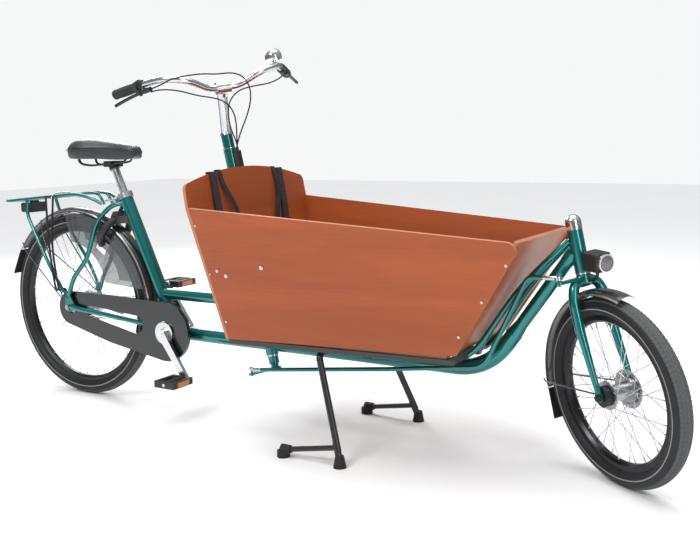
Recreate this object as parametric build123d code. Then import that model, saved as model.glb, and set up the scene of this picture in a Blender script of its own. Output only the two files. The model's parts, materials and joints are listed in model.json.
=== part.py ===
from build123d import *
import os
from math import sin, cos, tan, radians, degrees, pi, sqrt, atan2

# Two-wheel cargo bicycle, 26 inch rear wheel and 20 inch front wheel, box between them.
# Millimetres. +X forward, +Y left, +Z up. Origin on the ground below the rear axle.
# The steering stands turned to the right in the rest pose.

# ---------------------------------------------------------------- driving sizes
R_REAR = 330.0          # rear tyre outer radius
R_FRONT = 255.0         # front tyre outer radius
TYRE_HALF = 27.5        # half the tyre width, both wheels
X_FRONT = 1956.1        # front axle with the steering straight
STEER = 35.0            # turned to the right at rest, degrees
TILT = 12.5             # both steering axes lean back from vertical
OFFSET = 40.0           # front axle ahead of its steering axis
COL = (686.6, 929.5)    # column axis, top of the painted tube
HEAD = (1815.5, 704.4)  # head axis, top of the dome cap
BB = (442.0, 275.0)     # bottom bracket
CRANK = 170.0
CRANK_ANGLE = -56.0     # right crank, degrees from forward
SEAT_TOP = (233.2, 731.4)
POST_R = 13.6
BOX_T = 10.0            # plywood
BOX_TR = (779.8, 308.5, 721.4)   # box outer corners: top rear
BOX_TF = (1763.5, 224.0, 652.0)  # top front
BOX_BR = (849.9, 231.0, 327.7)   # bottom rear
BOX_BF = (1567.4, 181.2, 341.4)  # bottom front
ARM_L = 80.0            # steering arm, both ends of the tie rod
CHAIN_Y = -55.0
STAND_PIVOT = (1141.0, 303.0)

os.makedirs("parts", exist_ok=True)
ST, CT = sin(radians(TILT)), cos(radians(TILT))
UP = Vector(-ST, 0, CT)
FW = Vector(CT, 0, ST)
YV = Vector(0, 1, 0)
AZ = ST * sin(radians(STEER))
Z_FRONT = (R_FRONT - TYRE_HALF) * sqrt(1 - AZ * AZ) + TYRE_HALF + OFFSET * ST * (1 - cos(radians(STEER)))
HEADV = Vector(HEAD[0], 0, HEAD[1])
COLV = Vector(COL[0], 0, COL[1])
# the front axle lies OFFSET ahead of the head axis at height Z_FRONT
A_AXLE = (HEAD[1] + OFFSET * ST - Z_FRONT) / CT


def H(a, e=0.0, y=0.0):
    """point at distance a down the head axis, e ahead of it, y to the left"""
    return HEADV - UP * a + FW * e + YV * y


def S(u, e=0.0, y=0.0):
    """point at distance u up the column axis from its top"""
    return COLV + UP * u + FW * e + YV * y


FRONT = H(A_AXLE, OFFSET)
AX_HEAD = Axis(HEADV, UP)
AX_COL = Axis(COLV, UP)


def steer_h(s):
    return s.rotate(AX_HEAD, -STEER)


def steer_c(s):
    return s.rotate(AX_COL, -STEER)


def V(*p):
    return Vector(*p)


def turned(v, o, deg=-STEER):
    """a point turned about the steering direction through o"""
    w, t = v - o, radians(deg)
    return o + w * cos(t) + UP.cross(w) * sin(t) + UP * (UP.dot(w) * (1 - cos(t)))


def rod(p, q, r):
    p, q = Vector(*p) if not isinstance(p, Vector) else p, Vector(*q) if not isinstance(q, Vector) else q
    d = q - p
    return Plane(p, z_dir=d) * Cylinder(r, d.length, align=(Align.CENTER, Align.CENTER, Align.MIN))


def cone(p, q, r1, r2):
    p, q = Vector(*p) if not isinstance(p, Vector) else p, Vector(*q) if not isinstance(q, Vector) else q
    d = q - p
    return Plane(p, z_dir=d) * Cone(r1, r2, d.length, align=(Align.CENTER, Align.CENTER, Align.MIN))


def ring(p, q, ro, ri):
    return rod(p, q, ro) - rod(p, q, ri)


def path_of(pts, f=0.45, rmin=None, rmax=None):
    pts = [Vector(*p) if not isinstance(p, Vector) else p for p in pts]
    rad = []
    for a, b, c in zip(pts, pts[1:], pts[2:]):
        u, w = b - a, c - b
        t = radians(u.get_angle(w))
        r = f * min(u.length, w.length) / tan(t / 2)
        if rmax:
            r = min(r, rmax)
        rad.append(r)
    return (FilletPolyline(*pts, radius=rad) if len(pts) > 2 else Line(*pts)), rad


def tube(pts, r, f=0.45, rmax=None):
    ln, rad = path_of(pts, f, rmax=rmax)
    pl = Plane(ln @ 0, z_dir=ln % 0)
    return sweep(pl * Circle(r), path=ln)


def mir(s):
    return mirror(s, about=Plane.XZ)


def group(*s):
    out = []
    for x in s:
        out += list(x.solids())
    return Compound(children=out)


def yd(x, z, y0, y1, r):
    """cylinder across the bike"""
    return rod((x, y0, z), (x, y1, z), r)


def plate(pts, y0, y1):
    """side-view polygon extruded across"""
    f = Plane.XZ * make_face(Polyline(*[(p[0], p[1]) for p in pts], close=True))
    return extrude(f, amount=-(y1 - y0)).moved(Location((0, y0, 0)))


def hull_plate(circles, y0, y1):
    with BuildSketch(Plane.XZ) as sk:
        es = []
        for (x, z, r) in circles:
            es += list((Pos(x, z) * Circle(r)).edges())
        w = make_hull(es)
    f = Plane.XZ * Sketch(make_face(w.edges() if hasattr(w, "edges") else w).wrapped)
    return extrude(f, amount=-(y1 - y0)).moved(Location((0, y0, 0)))


NODES = {}


def put(name, s):
    if isinstance(s, (list, tuple, ShapeList)):
        s = group(*s)
    NODES[name] = s


# ================================================================ frame
st = V(SEAT_TOP[0], 0, SEAT_TOP[1])
bbv = V(BB[0], 0, BB[1])
seat_dir = (st - bbv).normalized()
low_pts = [(BB[0], 0, 267), (1583, 0, 265.0), (1662, 0, 378.0)]
low = tube(low_pts, 23.0, 0.95, rmax=180)
down_top = V(1822, 0, 607.3)
downt = cone((1659, 0, 373.7), (1678, 0, 400.9), 22.6, 18.6) + rod((1674, 0, 395.2), down_top, 18.0)
seat_tube = rod(bbv, st, 22.0)
up_tube = rod((388, 0, 397), (804, 0, 397), 19.0)
col_lo, col_hi = S(-715), S(-45)
col_tube = rod(col_lo, col_hi, 20.0)
head_tube = rod(H(149), H(36), 20.0)
gusset = plate([(1740, 505), (1836, 586), (1826, 640), (1800, 610)], -6, 6)
bb_shell = yd(BB[0], BB[1], -36.5, 36.5, 22.0)
frame_main = low + downt + seat_tube + up_tube + col_tube + head_tube + bb_shell + gusset
frame_main -= rod(st - seat_dir * 330, st + seat_dir * 5, POST_R + 0.05)
frame_main -= rod(S(-720), S(-40), 16.0)
frame_main -= rod(H(155), H(30), 17.0)
frame_main -= yd(BB[0], BB[1], -40, 40, 17.05)
# stand brackets welded on top of the low tube
for yy in (-1, 1):
    ear = hull_plate([(STAND_PIVOT[0], STAND_PIVOT[1], 13), (STAND_PIVOT[0], 268, 18)], 14 * yy - 4, 14 * yy + 4)
    frame_main += ear
frame_main -= yd(*STAND_PIVOT, -30, 30, 10.06)
put("frame_main", frame_main)

# rear stays with dropouts
cs_pts = [(14, -74, 329), (60, -74, 321), (150, -58, 310), (320, -45, 291), (425, -30, 277)]
ss_pts = [(240, -8, 706), (196, -30, 697), (140, -48, 645), (92, -62, 505), (60, -72, 466), (32, -75, 432), (6, -75, 372)]
r_cs = tube([(x, y, z + 5.5) for x, y, z in cs_pts], 9.0) + tube([(x, y, z - 5.0) for x, y, z in cs_pts], 9.0)
r_ss = tube(ss_pts, 8.0)
drop = hull_plate([(0, 330, 17), (20, 331, 12), (-3, 378, 9)], -74.5, -69.5)
drop -= yd(0, 330, -80, -60, 5.0)
side = r_cs + drop + r_ss
side -= yd(0, 330, -90, -74.6, 13)
side -= yd(-4, 381, -90, -60, 3.0)
stays = side + mir(side)
stays += rod((196, -30, 697), (196, 30, 697), 6)
stays += rod((372, -38, 284), (372, 38, 284), 7)
stays -= seat_tube
stays -= bb_shell + low
stays -= yd(BB[0], BB[1], -46, 46, 22.2)
put("rear_stays", stays)

# rear carrier: outer rail loop, inner loop, cross bars, legs
z_at = lambda x: 703 + (x + 290) * 0.0915
outer_pts = [(160, -41, 702.0), (116, -58, 726), (60, -66, z_at(60)), (-296, -66, z_at(-296)), (-338, -34, z_at(-338)), (-338, 34, z_at(-338)), (-296, 66, z_at(-296)), (60, 66, z_at(60)), (116, 58, 726), (160, 41, 702.0)]
rail = tube(outer_pts, 6.0)
inner_pts = [(150, -20, 699), (128, -20, 734), (90, -20, z_at(90)), (-230, -20, z_at(-230)), (-230, 20, z_at(-230)), (90, 20, z_at(90)), (128, 20, 734), (150, 20, 699)]
inner = tube(inner_pts, 5.0, 0.4)
bars = Part()
for x in (-230, -110, 20):
    bars += rod((x, -66, z_at(x)), (x, 66, z_at(x)), 4.5)
legs = tube([(-190, -66, z_at(-190)), (-182, -76, 655), (-60, -92, 470), (-8, -84, 386)], 6.0)
leg_eye = hull_plate([(-8, 392, 9), (-4, 381, 8)], -80.5, -77)
legs = (legs + leg_eye) - yd(-4, 381, -95, -60, 3.0)
carrier = rail + inner + bars + legs + mir(legs)
carrier -= stays
carrier -= drop.moved(Location((0, -2.6, 0))) + drop.moved(Location((0, 151.6, 0)))
put("rear_carrier", carrier)

# ================================================================ box
def box_side():
    a, b, c, d = [V(p[0], -p[1], p[2]) for p in (BOX_TR, BOX_TF, BOX_BF, BOX_BR)]
    n = (b - a).cross(d - a).normalized()
    if n.Y > 0:
        n = n * -1
    xd = (b - a).normalized()
    pl = Plane(a, x_dir=xd, z_dir=n)
    loc = [pl.to_local_coords(p) for p in (a, b, c, d)]
    face = pl * make_face(Polyline(*[(p.X, p.Y) for p in loc], close=True))
    s = extrude(face, amount=-BOX_T)
    e = s.edges().filter_by(lambda q: abs((q @ 1 - q @ 0).normalized().dot(n)) > 0.99)
    top_front = sorted(e, key=lambda q: -(q.center().X + q.center().Z))[0]
    s = fillet(top_front, 24)
    return s, n


side_r, n_side = box_side()
# the front panel sits between the sides, a little behind their front edges
dx, dz = BOX_TF[0] - BOX_BF[0], BOX_TF[2] - BOX_BF[2]
dl = sqrt(dx * dx + dz * dz)
fx, fz = dx / dl, dz / dl


def front_poly(off0, off1, ext):
    """side-view strip between two offsets behind the sloping front edge"""
    bx, bz = BOX_BF[0], BOX_BF[2]
    tx, tz = BOX_TF[0], BOX_TF[2]
    nx, nz = -fz, fx
    return [(bx + nx * off0 - fx * 0, bz + nz * off0), (tx + nx * off0 + fx * ext, tz + nz * off0 + fz * ext),
            (tx + nx * off1 + fx * ext, tz + nz * off1 + fz * ext), (bx + nx * off1, bz + nz * off1)]


def between_sides(solid, gap):
    """cut a solid with the inner faces of the side panels"""
    n = n_side
    a = V(BOX_TR[0], -BOX_TR[1], BOX_TR[2]) - n * (BOX_T + gap)
    big = Plane(a, z_dir=n) * Box(4000, 4000, 400, align=(Align.CENTER, Align.CENTER, Align.MIN))
    return solid - big - mir(big)


front_p = plate(front_poly(12, 12 + BOX_T, -6), -330, 330)
front_p = between_sides(front_p, 0.0)
front_p -= Pos(1500, 0, 330 - 20) * Box(400, 800, 40)
# rear panel, arched top, standing behind the rear edges of the sides
rx, rz = BOX_BR[0] - BOX_TR[0], BOX_BR[2] - BOX_TR[2]
slope = rx / -rz
back_top = 791.0
pl_back = Plane(V(BOX_BR[0], 0, BOX_BR[2]), x_dir=(0, 1, 0), z_dir=V(-1, 0, -slope).normalized())
hgt = lambda z: (z - BOX_BR[2]) * sqrt(1 + slope * slope)
with BuildSketch() as bsk:
    hb, ht, hm = 0, hgt(back_top), hgt(833.0)
    zs = hgt(721.4)
    wtop = 303.5
    with BuildLine():
        l1 = Polyline((-231, 0), (-308.5, zs), (-wtop - 3, ht - 22))
        l2 = RadiusArc((-wtop - 3, ht - 22), (-wtop + 20, ht + 4), 24)
        l3 = ThreePointArc((-wtop + 20, ht + 4), (0, hm), (wtop - 20, ht + 4))
        l4 = RadiusArc((wtop - 20, ht + 4), (wtop + 3, ht - 22), 24)
        l5 = Polyline((wtop + 3, ht - 22), (308.5, zs), (231, 0), (-231, 0))
    make_face()
bf = bsk.sketch
if pl_back.y_dir.Z < 0:
    pl_back = Plane(pl_back.origin, x_dir=(0, -1, 0), z_dir=pl_back.z_dir)
back_p = extrude(pl_back * bf, amount=BOX_T)
# belt slots through the back panel near its top
for yy in (-188, -150, 150, 188):
    pass
side_r -= back_p
put("box_side_right", side_r)
put("box_side_left", mir(side_r))
put("box_front_panel", front_p)
back_p -= rod(S(-740), S(-45), 20.4)
put("box_back_panel", back_p)
floor_p = Pos(1203, 0, 333) * Box(760, 800, 10)
floor_p = between_sides(floor_p, 0.0)
fq = front_poly(12 + BOX_T, -200, -6)
floor_p -= plate([(fq[0][0] - fx * 60, fq[0][1] - fz * 60), fq[1], fq[2], (fq[3][0] - fx * 60, fq[3][1] - fz * 60)], -330, 330)
bxp = Plane(pl_back.origin, x_dir=(0, 1, 0), z_dir=pl_back.z_dir) * Box(900, 2000, 300, align=(Align.CENTER, Align.CENTER, Align.MIN))
floor_p -= bxp
floor_p = Part(floor_p.wrapped) if not isinstance(floor_p, Part) else floor_p
put("box_floor", floor_p)
# bench board across the rear of the box
bench = Pos(930, 0, 560) * Box(300, 900, 10)
# rail round the underside of the box: two long tubes, front and rear bars, two cross bars to the main tube
zr0 = 327.5
rl = extrude(Pos(0, 0, 314) * make_face(Polyline((850, -228), (1556, -178), (1556, -160), (850, -208), close=True)), amount=13.5)
rr = rl + mir(rl)
rr += Pos(860, 0, 320.75) * Box(20, 430, 13.5)
rr += Pos(1545, 0, 320.75) * Box(22, 340, 13.5)
for x, wx in ((980, 424), (1300, 378)):
    rr += Pos(x, 0, 318.25) * Box(24, wx, 18.5)
rr += Pos(1490, 0, 300) * Box(22, 22, 30) + Pos(1520, 0, 318.25) * Box(80, 22, 18.5)
rr += Pos(980, 0, 298) * Box(20, 20, 26)
rr += Pos(1300, 0, 298) * Box(20, 20, 26)
rr -= low + col_tube
rr -= rod(S(-720), S(-40), 20.5)
put("cargo_rail", rr)
# struts from the rail to the head tube, under the front panel
strut = tube([(1545, -70, 314), (1585, -64, 347), (1690, -46, 512), (1812, -14, 640)], 9.0)
struts = strut + mir(strut)
struts -= frame_main + head_tube
struts -= rr
struts -= floor_p + front_p
NODES["frame_main"] = NODES["frame_main"] + struts

# belts over the back panel: flat straps down inside the box
pn = pl_back.z_dir


def back_pt(y, z, off):
    """point off in front of (+) the inner face of the back panel"""
    h = z - BOX_BR[2]
    return V(BOX_BR[0] - slope * h, y, z) - pn * off


def strap(y0, z0, y1, z1, w, off=0.8, th=2.4):
    p, q = back_pt(y0, z0, off), back_pt(y1, z1, off)
    d = (q - p)
    pl = Plane(p, x_dir=d.normalized(), z_dir=(pn * -1))
    return pl * Pos(d.length / 2, 0, th / 2) * Box(d.length, w, th)


belts = []
for sgn in (-1, 1):
    belts.append(strap(sgn * 176, 805, sgn * 168, 500, 38))
    belts.append(strap(sgn * 140, 812, sgn * 100, 500, 20, off=0.8))
put("belts", belts)
buck = []
for sgn in (-1, 1):
    buck.append(strap(sgn * 172, 655, sgn * 171, 600, 46, off=4.0, th=9))
put("belts", belts + buck)

# bolts of the box: dome heads on the outer faces
def bolt_on_side(x, z, r=6.0):
    a = V(BOX_TR[0], -BOX_TR[1], BOX_TR[2])
    n = n_side
    # y on the panel for this x, z
    y = a.Y - ((x - a.X) * n.X + (z - a.Z) * n.Z) / n.Y
    p = V(x, y, z)
    return (Plane(p, z_dir=n) * Cylinder(r, 2.4, align=(Align.CENTER, Align.CENTER, Align.MIN))) + rod(p - n * 9.6, p, 2.6)


bolts = []
for (x, z, r) in [(1001, 555, 6.5), (876, 524, 6), (848, 538, 5), (821, 527, 3), (796, 671, 3.5), (851, 382, 4), (1720, 596, 4), (1650, 496, 4), (1580, 396, 4)]:
    b = bolt_on_side(x, z, r)
    bolts += [b, mir(b)]
holes = group(*bolts)
NODES["box_side_right"] = NODES["box_side_right"] - holes
NODES["box_side_left"] = NODES["box_side_left"] - holes
bolts = [b - front_p - back_p for b in bolts]
put("box_bolts", bolts)

# ================================================================ bearings, seat clamp
stbr = [
    ring(H(153), H(149.0), 20, 12.75), ring(H(36), H(32), 20, 12.75),
    ring(S(-719), S(-715), 20, 12.75), ring(S(-45), S(-42), 20, 12.75)]
bbc = yd(BB[0], BB[1], -38.5, -20, 17.0) - yd(BB[0], BB[1], -45, -15, 8.05)
put("bearing_cups", stbr + [bbc, mir(bbc)])
sc = ring(st - seat_dir * 14, st + seat_dir * 6, 26, 22.0) 
sc = sc - rod(st - seat_dir * 1, st + seat_dir * 8, 22.0)
sc += ring(st + seat_dir * 0, st + seat_dir * 6, 26, POST_R + 0.08)
rear_of = V(-seat_dir.Z, 0, seat_dir.X)  # square to the seat tube, rearwards
rear_of = V(-abs(seat_dir.Z), 0, -abs(seat_dir.X)) if True else rear_of
lug = st - seat_dir * 4 + rear_of * 29
sc += Plane(lug, x_dir=rear_of, z_dir=V(0, 1, 0)) * Box(14, 18, 26)
sc += rod(lug + V(0, -20, 0), lug + V(0, 20, 0), 4)
put("seat_clamp", sc - frame_main)
lev_o = lug + V(0, -20.4, 0)
lever = rod(lev_o, lev_o + V(0, -9, 0), 7) + rod(lev_o + V(0, -5, 0), lev_o + V(0, -7, 0) + rear_of * 40 + seat_dir * 14, 4.0)
put("seat_clamp_lever", lever)

# ================================================================ wheels
def tyre(R):
    c = Circle(TYRE_HALF).face()
    sec = Pos(R - TYRE_HALF, 0) * (Circle(TYRE_HALF) - Circle(TYRE_HALF - 4))
    sec -= Pos(R - 47 - 20, 0) * Rectangle(40, 60)
    return sec  # x = radius, y = across


def wheel_parts(R, rim_in, flange_y, flange_r, n, pull=0.0):
    """parts about an axis through the origin along Y"""
    rb = R - 47.0
    sec = tyre(R)
    ty = revolve(Plane.XY * sec, axis=Axis.Y)
    # rim: box section with a channel that seats the tyre
    with BuildSketch() as rs:
        with BuildLine():
            Polyline((rim_in, -6), (rim_in, 6), (rim_in + 6, 13.2), (rb, 13.2), (rb, 10.6), (rim_in + 9, 9.4),
                     (rim_in + 9, -9.4), (rb, -10.6), (rb, -13.2), (rim_in + 6, -13.2), (rim_in, -6))
        make_face()
    rim = revolve(Plane.XY * rs.sketch, axis=Axis.Y)
    sp = []
    for k in range(n):
        side_ = 1 if k % 2 == 0 else -1
        m = k // 2
        lead = 1 if m % 2 == 0 else -1
        th = 2 * pi * k / n
        fa = th + lead * radians(62)
        yo = side_ * (flange_y + (2.6 if lead > 0 else -2.6))
        p = V(flange_r * cos(fa), yo, flange_r * sin(fa))
        q = V((rim_in - 1.2) * cos(th), side_ * 3.0, (rim_in - 1.2) * sin(th))
        d = (q - p).normalized()
        sp.append(rod(p, q, 1.0))
        sp.append(rod(q - d * 13, q, 1.9))
    return ty, rim, sp


# rear
ty, rim, sp = wheel_parts(R_REAR, 266.5, 31.0, 40.0, 36)
hub = yd(0, 0, -36, 33.5, 26) + yd(0, 0, -33, -29, 46) + yd(0, 0, 29, 33, 46)
hub += yd(0, 0, -52, -36, 17)
hub -= yd(0, 0, -60, 60, 5.06)
hub -= group(*sp)
sp_r = [s for s in sp]
spr = yd(0, 0, CHAIN_Y - 1.0, CHAIN_Y + 1.0, 41.5)
for k in range(19):
    a = 2 * pi * k / 19
    spr -= yd(38.6 * cos(a), 38.6 * sin(a), CHAIN_Y - 3, CHAIN_Y + 3, 4.1)
spr += yd(0, 0, CHAIN_Y + 1.0, -52, 17)
spr -= yd(0, 0, -60, -50, 5.06)
T_r = Location((0, 0, R_REAR))
put("rear_tyre", ty.moved(T_r))
put("rear_rim", rim.moved(T_r))
fuse_sp = lambda L: [L[i] + L[i + 1] for i in range(0, len(L), 2)]
put("rear_spokes", [s.moved(T_r) for s in fuse_sp(sp_r)])
put("rear_hub", [hub.moved(T_r), spr.moved(T_r)])
ax_r = yd(0, R_REAR, -74.5, 74.5, 5.0)
nut = Plane.XZ * extrude(RegularPolygon(9.5, 6), amount=8)
nut = nut.moved(Location((0, 0, 0)))
nr = (Pos(0, -74.6, R_REAR) * nut) + yd(0, R_REAR, -86, -74.5, 5.0)
ax_r = ax_r + nr + mir(nr)
ax_r -= drop + mir(drop)
# roller brake on the left of the rear hub, with its reaction arm to the left chainstay
rb_ = yd(0, R_REAR, 37, 58, 44) + yd(0, R_REAR, 34.6, 37, 40) + yd(0, R_REAR, 58, 63, 30)
rb_ += hull_plate([(0, R_REAR, 16), (150, 307, 9)], 61, 64.5).cut(rod((14, 74, 329), (60, 74, 321), 9.1)) if False else hull_plate([(0, R_REAR, 16), (128, 298, 8)], 60, 63)
rb_ -= yd(0, R_REAR, 20, 80, 5.06)
rb_ -= stays
put("rear_axle_brake", [ax_r, rb_ - ax_r])
# front: built straight, then turned with the fork
tyf, rimf, spf = wheel_parts(R_FRONT, 188.0, 30.0, 33.0, 36)
hubf = yd(0, 0, -33, 33, 22) + yd(0, 0, -32, -28, 38) + yd(0, 0, 28, 32, 38)
hubf -= yd(0, 0, -60, 60, 5.06)
hubf -= group(*spf)
T_f = Location((FRONT.X, 0, FRONT.Z))
put("front_tyre", steer_h(tyf.moved(T_f)))
put("front_rim", steer_h(rimf.moved(T_f)))
put("front_spokes", [steer_h(s.moved(T_f)) for s in fuse_sp(spf)])
put("front_hub", steer_h(hubf.moved(T_f)))

# ================================================================ crankset, chain
ca = radians(CRANK_ANGLE)
PED_R = (BB[0] + CRANK * cos(ca), BB[1] + CRANK * sin(ca))
PED_L = (BB[0] - CRANK * cos(ca), BB[1] - CRANK * sin(ca))
nt = 38
pr = 12.7 / 2 / sin(pi / nt)
cring = yd(*BB, CHAIN_Y - 1.1, CHAIN_Y + 1.1, pr + 3)
cring -= group(*[yd(BB[0] + pr * cos(2 * pi * k / nt), BB[1] + pr * sin(2 * pi * k / nt), CHAIN_Y - 4, CHAIN_Y + 4, 4.1) for k in range(nt)])
cring -= yd(*BB, -60, -50, 20)


def arm(y0, y1, P):
    a = hull_plate([(BB[0], BB[1], 15), (P[0], P[1], 11)], y0, y1)
    return a


cr = arm(-83, -70, PED_R) + yd(*BB, -70, CHAIN_Y + 1.1, 19.9) + yd(*BB, -68.5, -64.5, 37.5) + yd(*BB, CHAIN_Y - 1.1 - 3, CHAIN_Y - 1.1, 36)
cr += yd(*BB, -64.5, -58, 19.9)
cr -= yd(*BB, -90, -50, 8.0)
cr -= yd(*PED_R, -90, -60, 5.0)
spin = yd(*BB, -84, 72, 8.0)
cl = arm(58, 71, PED_L)
cl -= yd(*BB, 50, 80, 8.0)
cl -= yd(*PED_L, 50, 80, 5.0)


def pedal(P, s):
    """body of one pedal on its axle, s = -1 right, 1 left"""
    y0 = 84 if s < 0 else 72
    axle = yd(P[0], P[1], s * (y0 - 14), s * (y0 + 100), 5.0) if s > 0 else yd(P[0], P[1], s * (y0 + 100), s * (y0 - 14), 5.0)
    a, b = sorted((s * (y0 + 4), s * (y0 + 98)))
    body = yd(P[0], P[1], a, b, 11)
    fr = Pos(P[0], (a + b) / 2, P[1]) * (Box(82, b - a, 22) - Box(58, (b - a) - 24, 40) )
    body = body + fr
    for q in (-1, 1):
        body += Pos(P[0], (a + b) / 2 + q * 22, P[1]) * Box(70, 5, 18)
    refl = []
    for q in (-1, 1):
        refl.append(Pos(P[0] + q * 42.5, (a + b) / 2, P[1]) * Box(3, 52, 15))
    body -= yd(P[0], P[1], a - 20, b + 20, 5.06)
    return axle, body, refl


axR, bodR, refR = pedal(PED_R, -1)
axL, bodL, refL = pedal(PED_L, 1)
put("crank_right", [cr, cring, axR])
put("crank_left", [cl, spin, axL])
put("pedal_right", [bodR] + refR)
put("pedal_left", [bodL] + refL)


def belt_band(y0, y1, d):
    big = hull_plate([(0, R_REAR, 38.6 + d), (BB[0], BB[1], pr + d)], y0, y1)
    return big


chain = (belt_band(-53.2, -52.0, 4.2) - belt_band(-54, -51, -4.2)) + Part()
chain2 = (belt_band(-58.0, -56.8, 4.2) - belt_band(-59, -56, -4.2))
rollers = []
dxc, dzc = BB[0], BB[1] - R_REAR
Lc = sqrt(dxc * dxc + dzc * dzc)
al = atan2(dzc, dxc)
be = math_asin = 0.0
from math import asin
be = asin((pr - 38.6) / Lc)
for sg in (1, -1):
    na = al + sg * (pi / 2 + be)
    p0 = (38.6 * cos(na), R_REAR + 38.6 * sin(na))
    p1 = (BB[0] + pr * cos(na), BB[1] + pr * sin(na))
    n_ = int(sqrt((p1[0] - p0[0]) ** 2 + (p1[1] - p0[1]) ** 2) / 12.7)
    for k in range(3, n_ - 2):
        f = k / n_
        rollers.append(yd(p0[0] + (p1[0] - p0[0]) * f, p0[1] + (p1[1] - p0[1]) * f, -56.8, -53.2, 3.8))
put("chain", [chain, chain2] + rollers)

# chaincase
cc_c = [(0, 325, 60), (200, 300, 84), (BB[0], BB[1] + 3, 101)]
cc = hull_plate(cc_c, -62.0, -48.2)
cci = hull_plate([(x, z, r - 2) for x, z, r in cc_c], -60.2, -49.8)
cc -= cci
slot = hull_plate([(96, 322, 19), (312, 292, 31)], -64, -46)
slot_w = hull_plate([(96, 322, 21), (312, 292, 33)], -61.0, -49.0)
# walls round the slot
cc += hull_plate([(96, 322, 21), (312, 292, 33)], -62.0, -48.2)
cc -= slot
cc -= yd(0, R_REAR, -63, -40, 24)
cc -= yd(*BB, -63, -58, 40)
cc -= hull_plate([(*BB, 30), (300, 290, 30)], -52, -40)
cc -= rod((14, -74, 329), (60, -74, 321), 9.6)
put("chaincase", cc - stays)

# ================================================================ rear fender, flap, guards, lock, lamp
def arc_band(R0, R1, half, a0, a1, cx_=0.0, cz_=R_REAR, lip=0.0):
    """curved mudguard shell: cross-section swept from a0 to a1 degrees"""
    with BuildSketch() as s_:
        with BuildLine():
            o = ThreePointArc((R1 - 14, -half), (R1, 0), (R1 - 14, half))
            Line(o @ 1, (R1 - 15.5, half))
            i = ThreePointArc((R1 - 15.5, half), (R1 - 1.6, 0), (R1 - 15.5, -half))
            Line(i @ 1, o @ 0)
        make_face()
    f = Plane.XY * s_.sketch
    r = revolve(f, axis=Axis.Y, revolution_arc=a1 - a0)
    # revolve about +Y takes +X towards -Z: turn so that the band runs a0..a1 upwards from +X
    r = r.rotate(Axis.Y, -a1)
    return r.moved(Location((cx_, 0, cz_)))


rf = arc_band(0, 354.0, 32.0, -4, 147)
# mudflap: leaves the mudguard on its tangent and flares
def flap(R, a, L, half0, half1, cx_, cz_):
    c, s_ = cos(radians(a)), sin(radians(a))
    o = V(cx_ + R * c, 0, cz_ + R * s_)
    t = V(-s_, 0, c)
    nn = V(c, 0, s_)
    pl = Plane(o + nn * -6, x_dir=t, z_dir=nn)
    f = make_face(Polyline((1, -half0), (L, -half1), (L, half1), (1, half0), close=True))
    return extrude(pl * f, amount=3.0)


put("rear_mudflap", flap(351, 147.2, 95, 26, 40, 0, R_REAR).rotate(Axis(V(351 * cos(radians(147.2)), 0, R_REAR + 351 * sin(radians(147.2))), V(0, 1, 0)), -14))
stay_w = []
for a in (118, 141):
    p = V(345 * cos(radians(a)), -33.8, R_REAR + 345 * sin(radians(a)))
    w = tube([p, V(p.X * 0.86, -52, R_REAR + (p.Z - R_REAR) * 0.86), V(-14, -87.6, 372 if a < 130 else 360)], 2.2, 0.4)
    stay_w += [w, mir(w)]
put("rear_fender", [rf] + stay_w)
# coat guards: thin sector panels beside the tyre
def guard(y):
    with BuildSketch(Plane.XZ) as g:
        with BuildLine():
            p = lambda r, a: (r * cos(radians(a)), R_REAR + r * sin(radians(a)))
            l_1 = ThreePointArc(p(336, 14), p(336, 55), p(336, 96))
            l_2 = Line(p(336, 96), p(232, 92))
            l_3 = ThreePointArc(p(232, 92), p(214, 64), p(176, 32))
            l_4 = Line(p(176, 32), p(336, 14))
        make_face()
    return extrude(g.sketch, amount=-1.2).moved(Location((0, y, 0)))


gd = guard(-35.4)

# ring lock: horseshoe in the plane of the radius and Y
LA = radians(57.0)
LC = V(322 * cos(LA), 0, R_REAR + 322 * sin(LA))
rad_d = V(cos(LA), 0, sin(LA))
tan_d = V(-sin(LA), 0, cos(LA))
pl_lock = Plane(LC, x_dir=V(0, 1, 0), z_dir=tan_d)   # local y = +/- radial
ysg = 1 if pl_lock.y_dir.dot(rad_d) > 0 else -1


def lock_seg(Rm, r, a0, a1):
    f = Plane.XZ * Pos(Rm, 0) * Circle(r)
    q = revolve(f, axis=Axis.Z, revolution_arc=a1 - a0).rotate(Axis.Z, a0)
    return pl_lock * q


lock = lock_seg(62, 13, -48, 228) if ysg > 0 else lock_seg(62, 13, 132, 408)
lock -= pl_lock * Torus(62, 5.6)
lock += pl_lock * Pos(0, ysg * 64, 0) * (Box(74, 34, 30) - Box(200, 20, 12).moved(Location((0, -ysg * 12, 0))))
lock -= pl_lock * Torus(62, 5.6)
lock -= pl_lock * Cylinder(48, 60)
slit = lock_seg(78, 3.2, 60, 185) if ysg > 0 else lock_seg(78, 3.2, -120, 5)
lock -= slit
lock -= stays + carrier
lock = Part(lock.wrapped) if not isinstance(lock, Part) else lock
put("ring_lock", lock)
lock_zone = pl_lock * Box(170, 160, 48)
put("coat_guards", [gd - lock_zone, mir(gd) - lock_zone])
bow = lock_seg(62, 5.0, 96, 226) if ysg > 0 else lock_seg(62, 5.0, -84, 46)
put("lock_bow", bow)
# rear lamp under the carrier
lz = z_at(-225)
lamp_r = Pos(-232, 0, lz - 30) * Box(34, 92, 36)
lamp_r = fillet(lamp_r.edges().filter_by(Axis.X), 8)
lamp_r += Pos(-230, 0, lz - 10) * Box(16, 30, 9)
lens_r = Pos(-251.5, 0, lz - 30) * Box(5, 84, 28)
put("rear_lamp", [lamp_r - carrier, lens_r])
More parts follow.
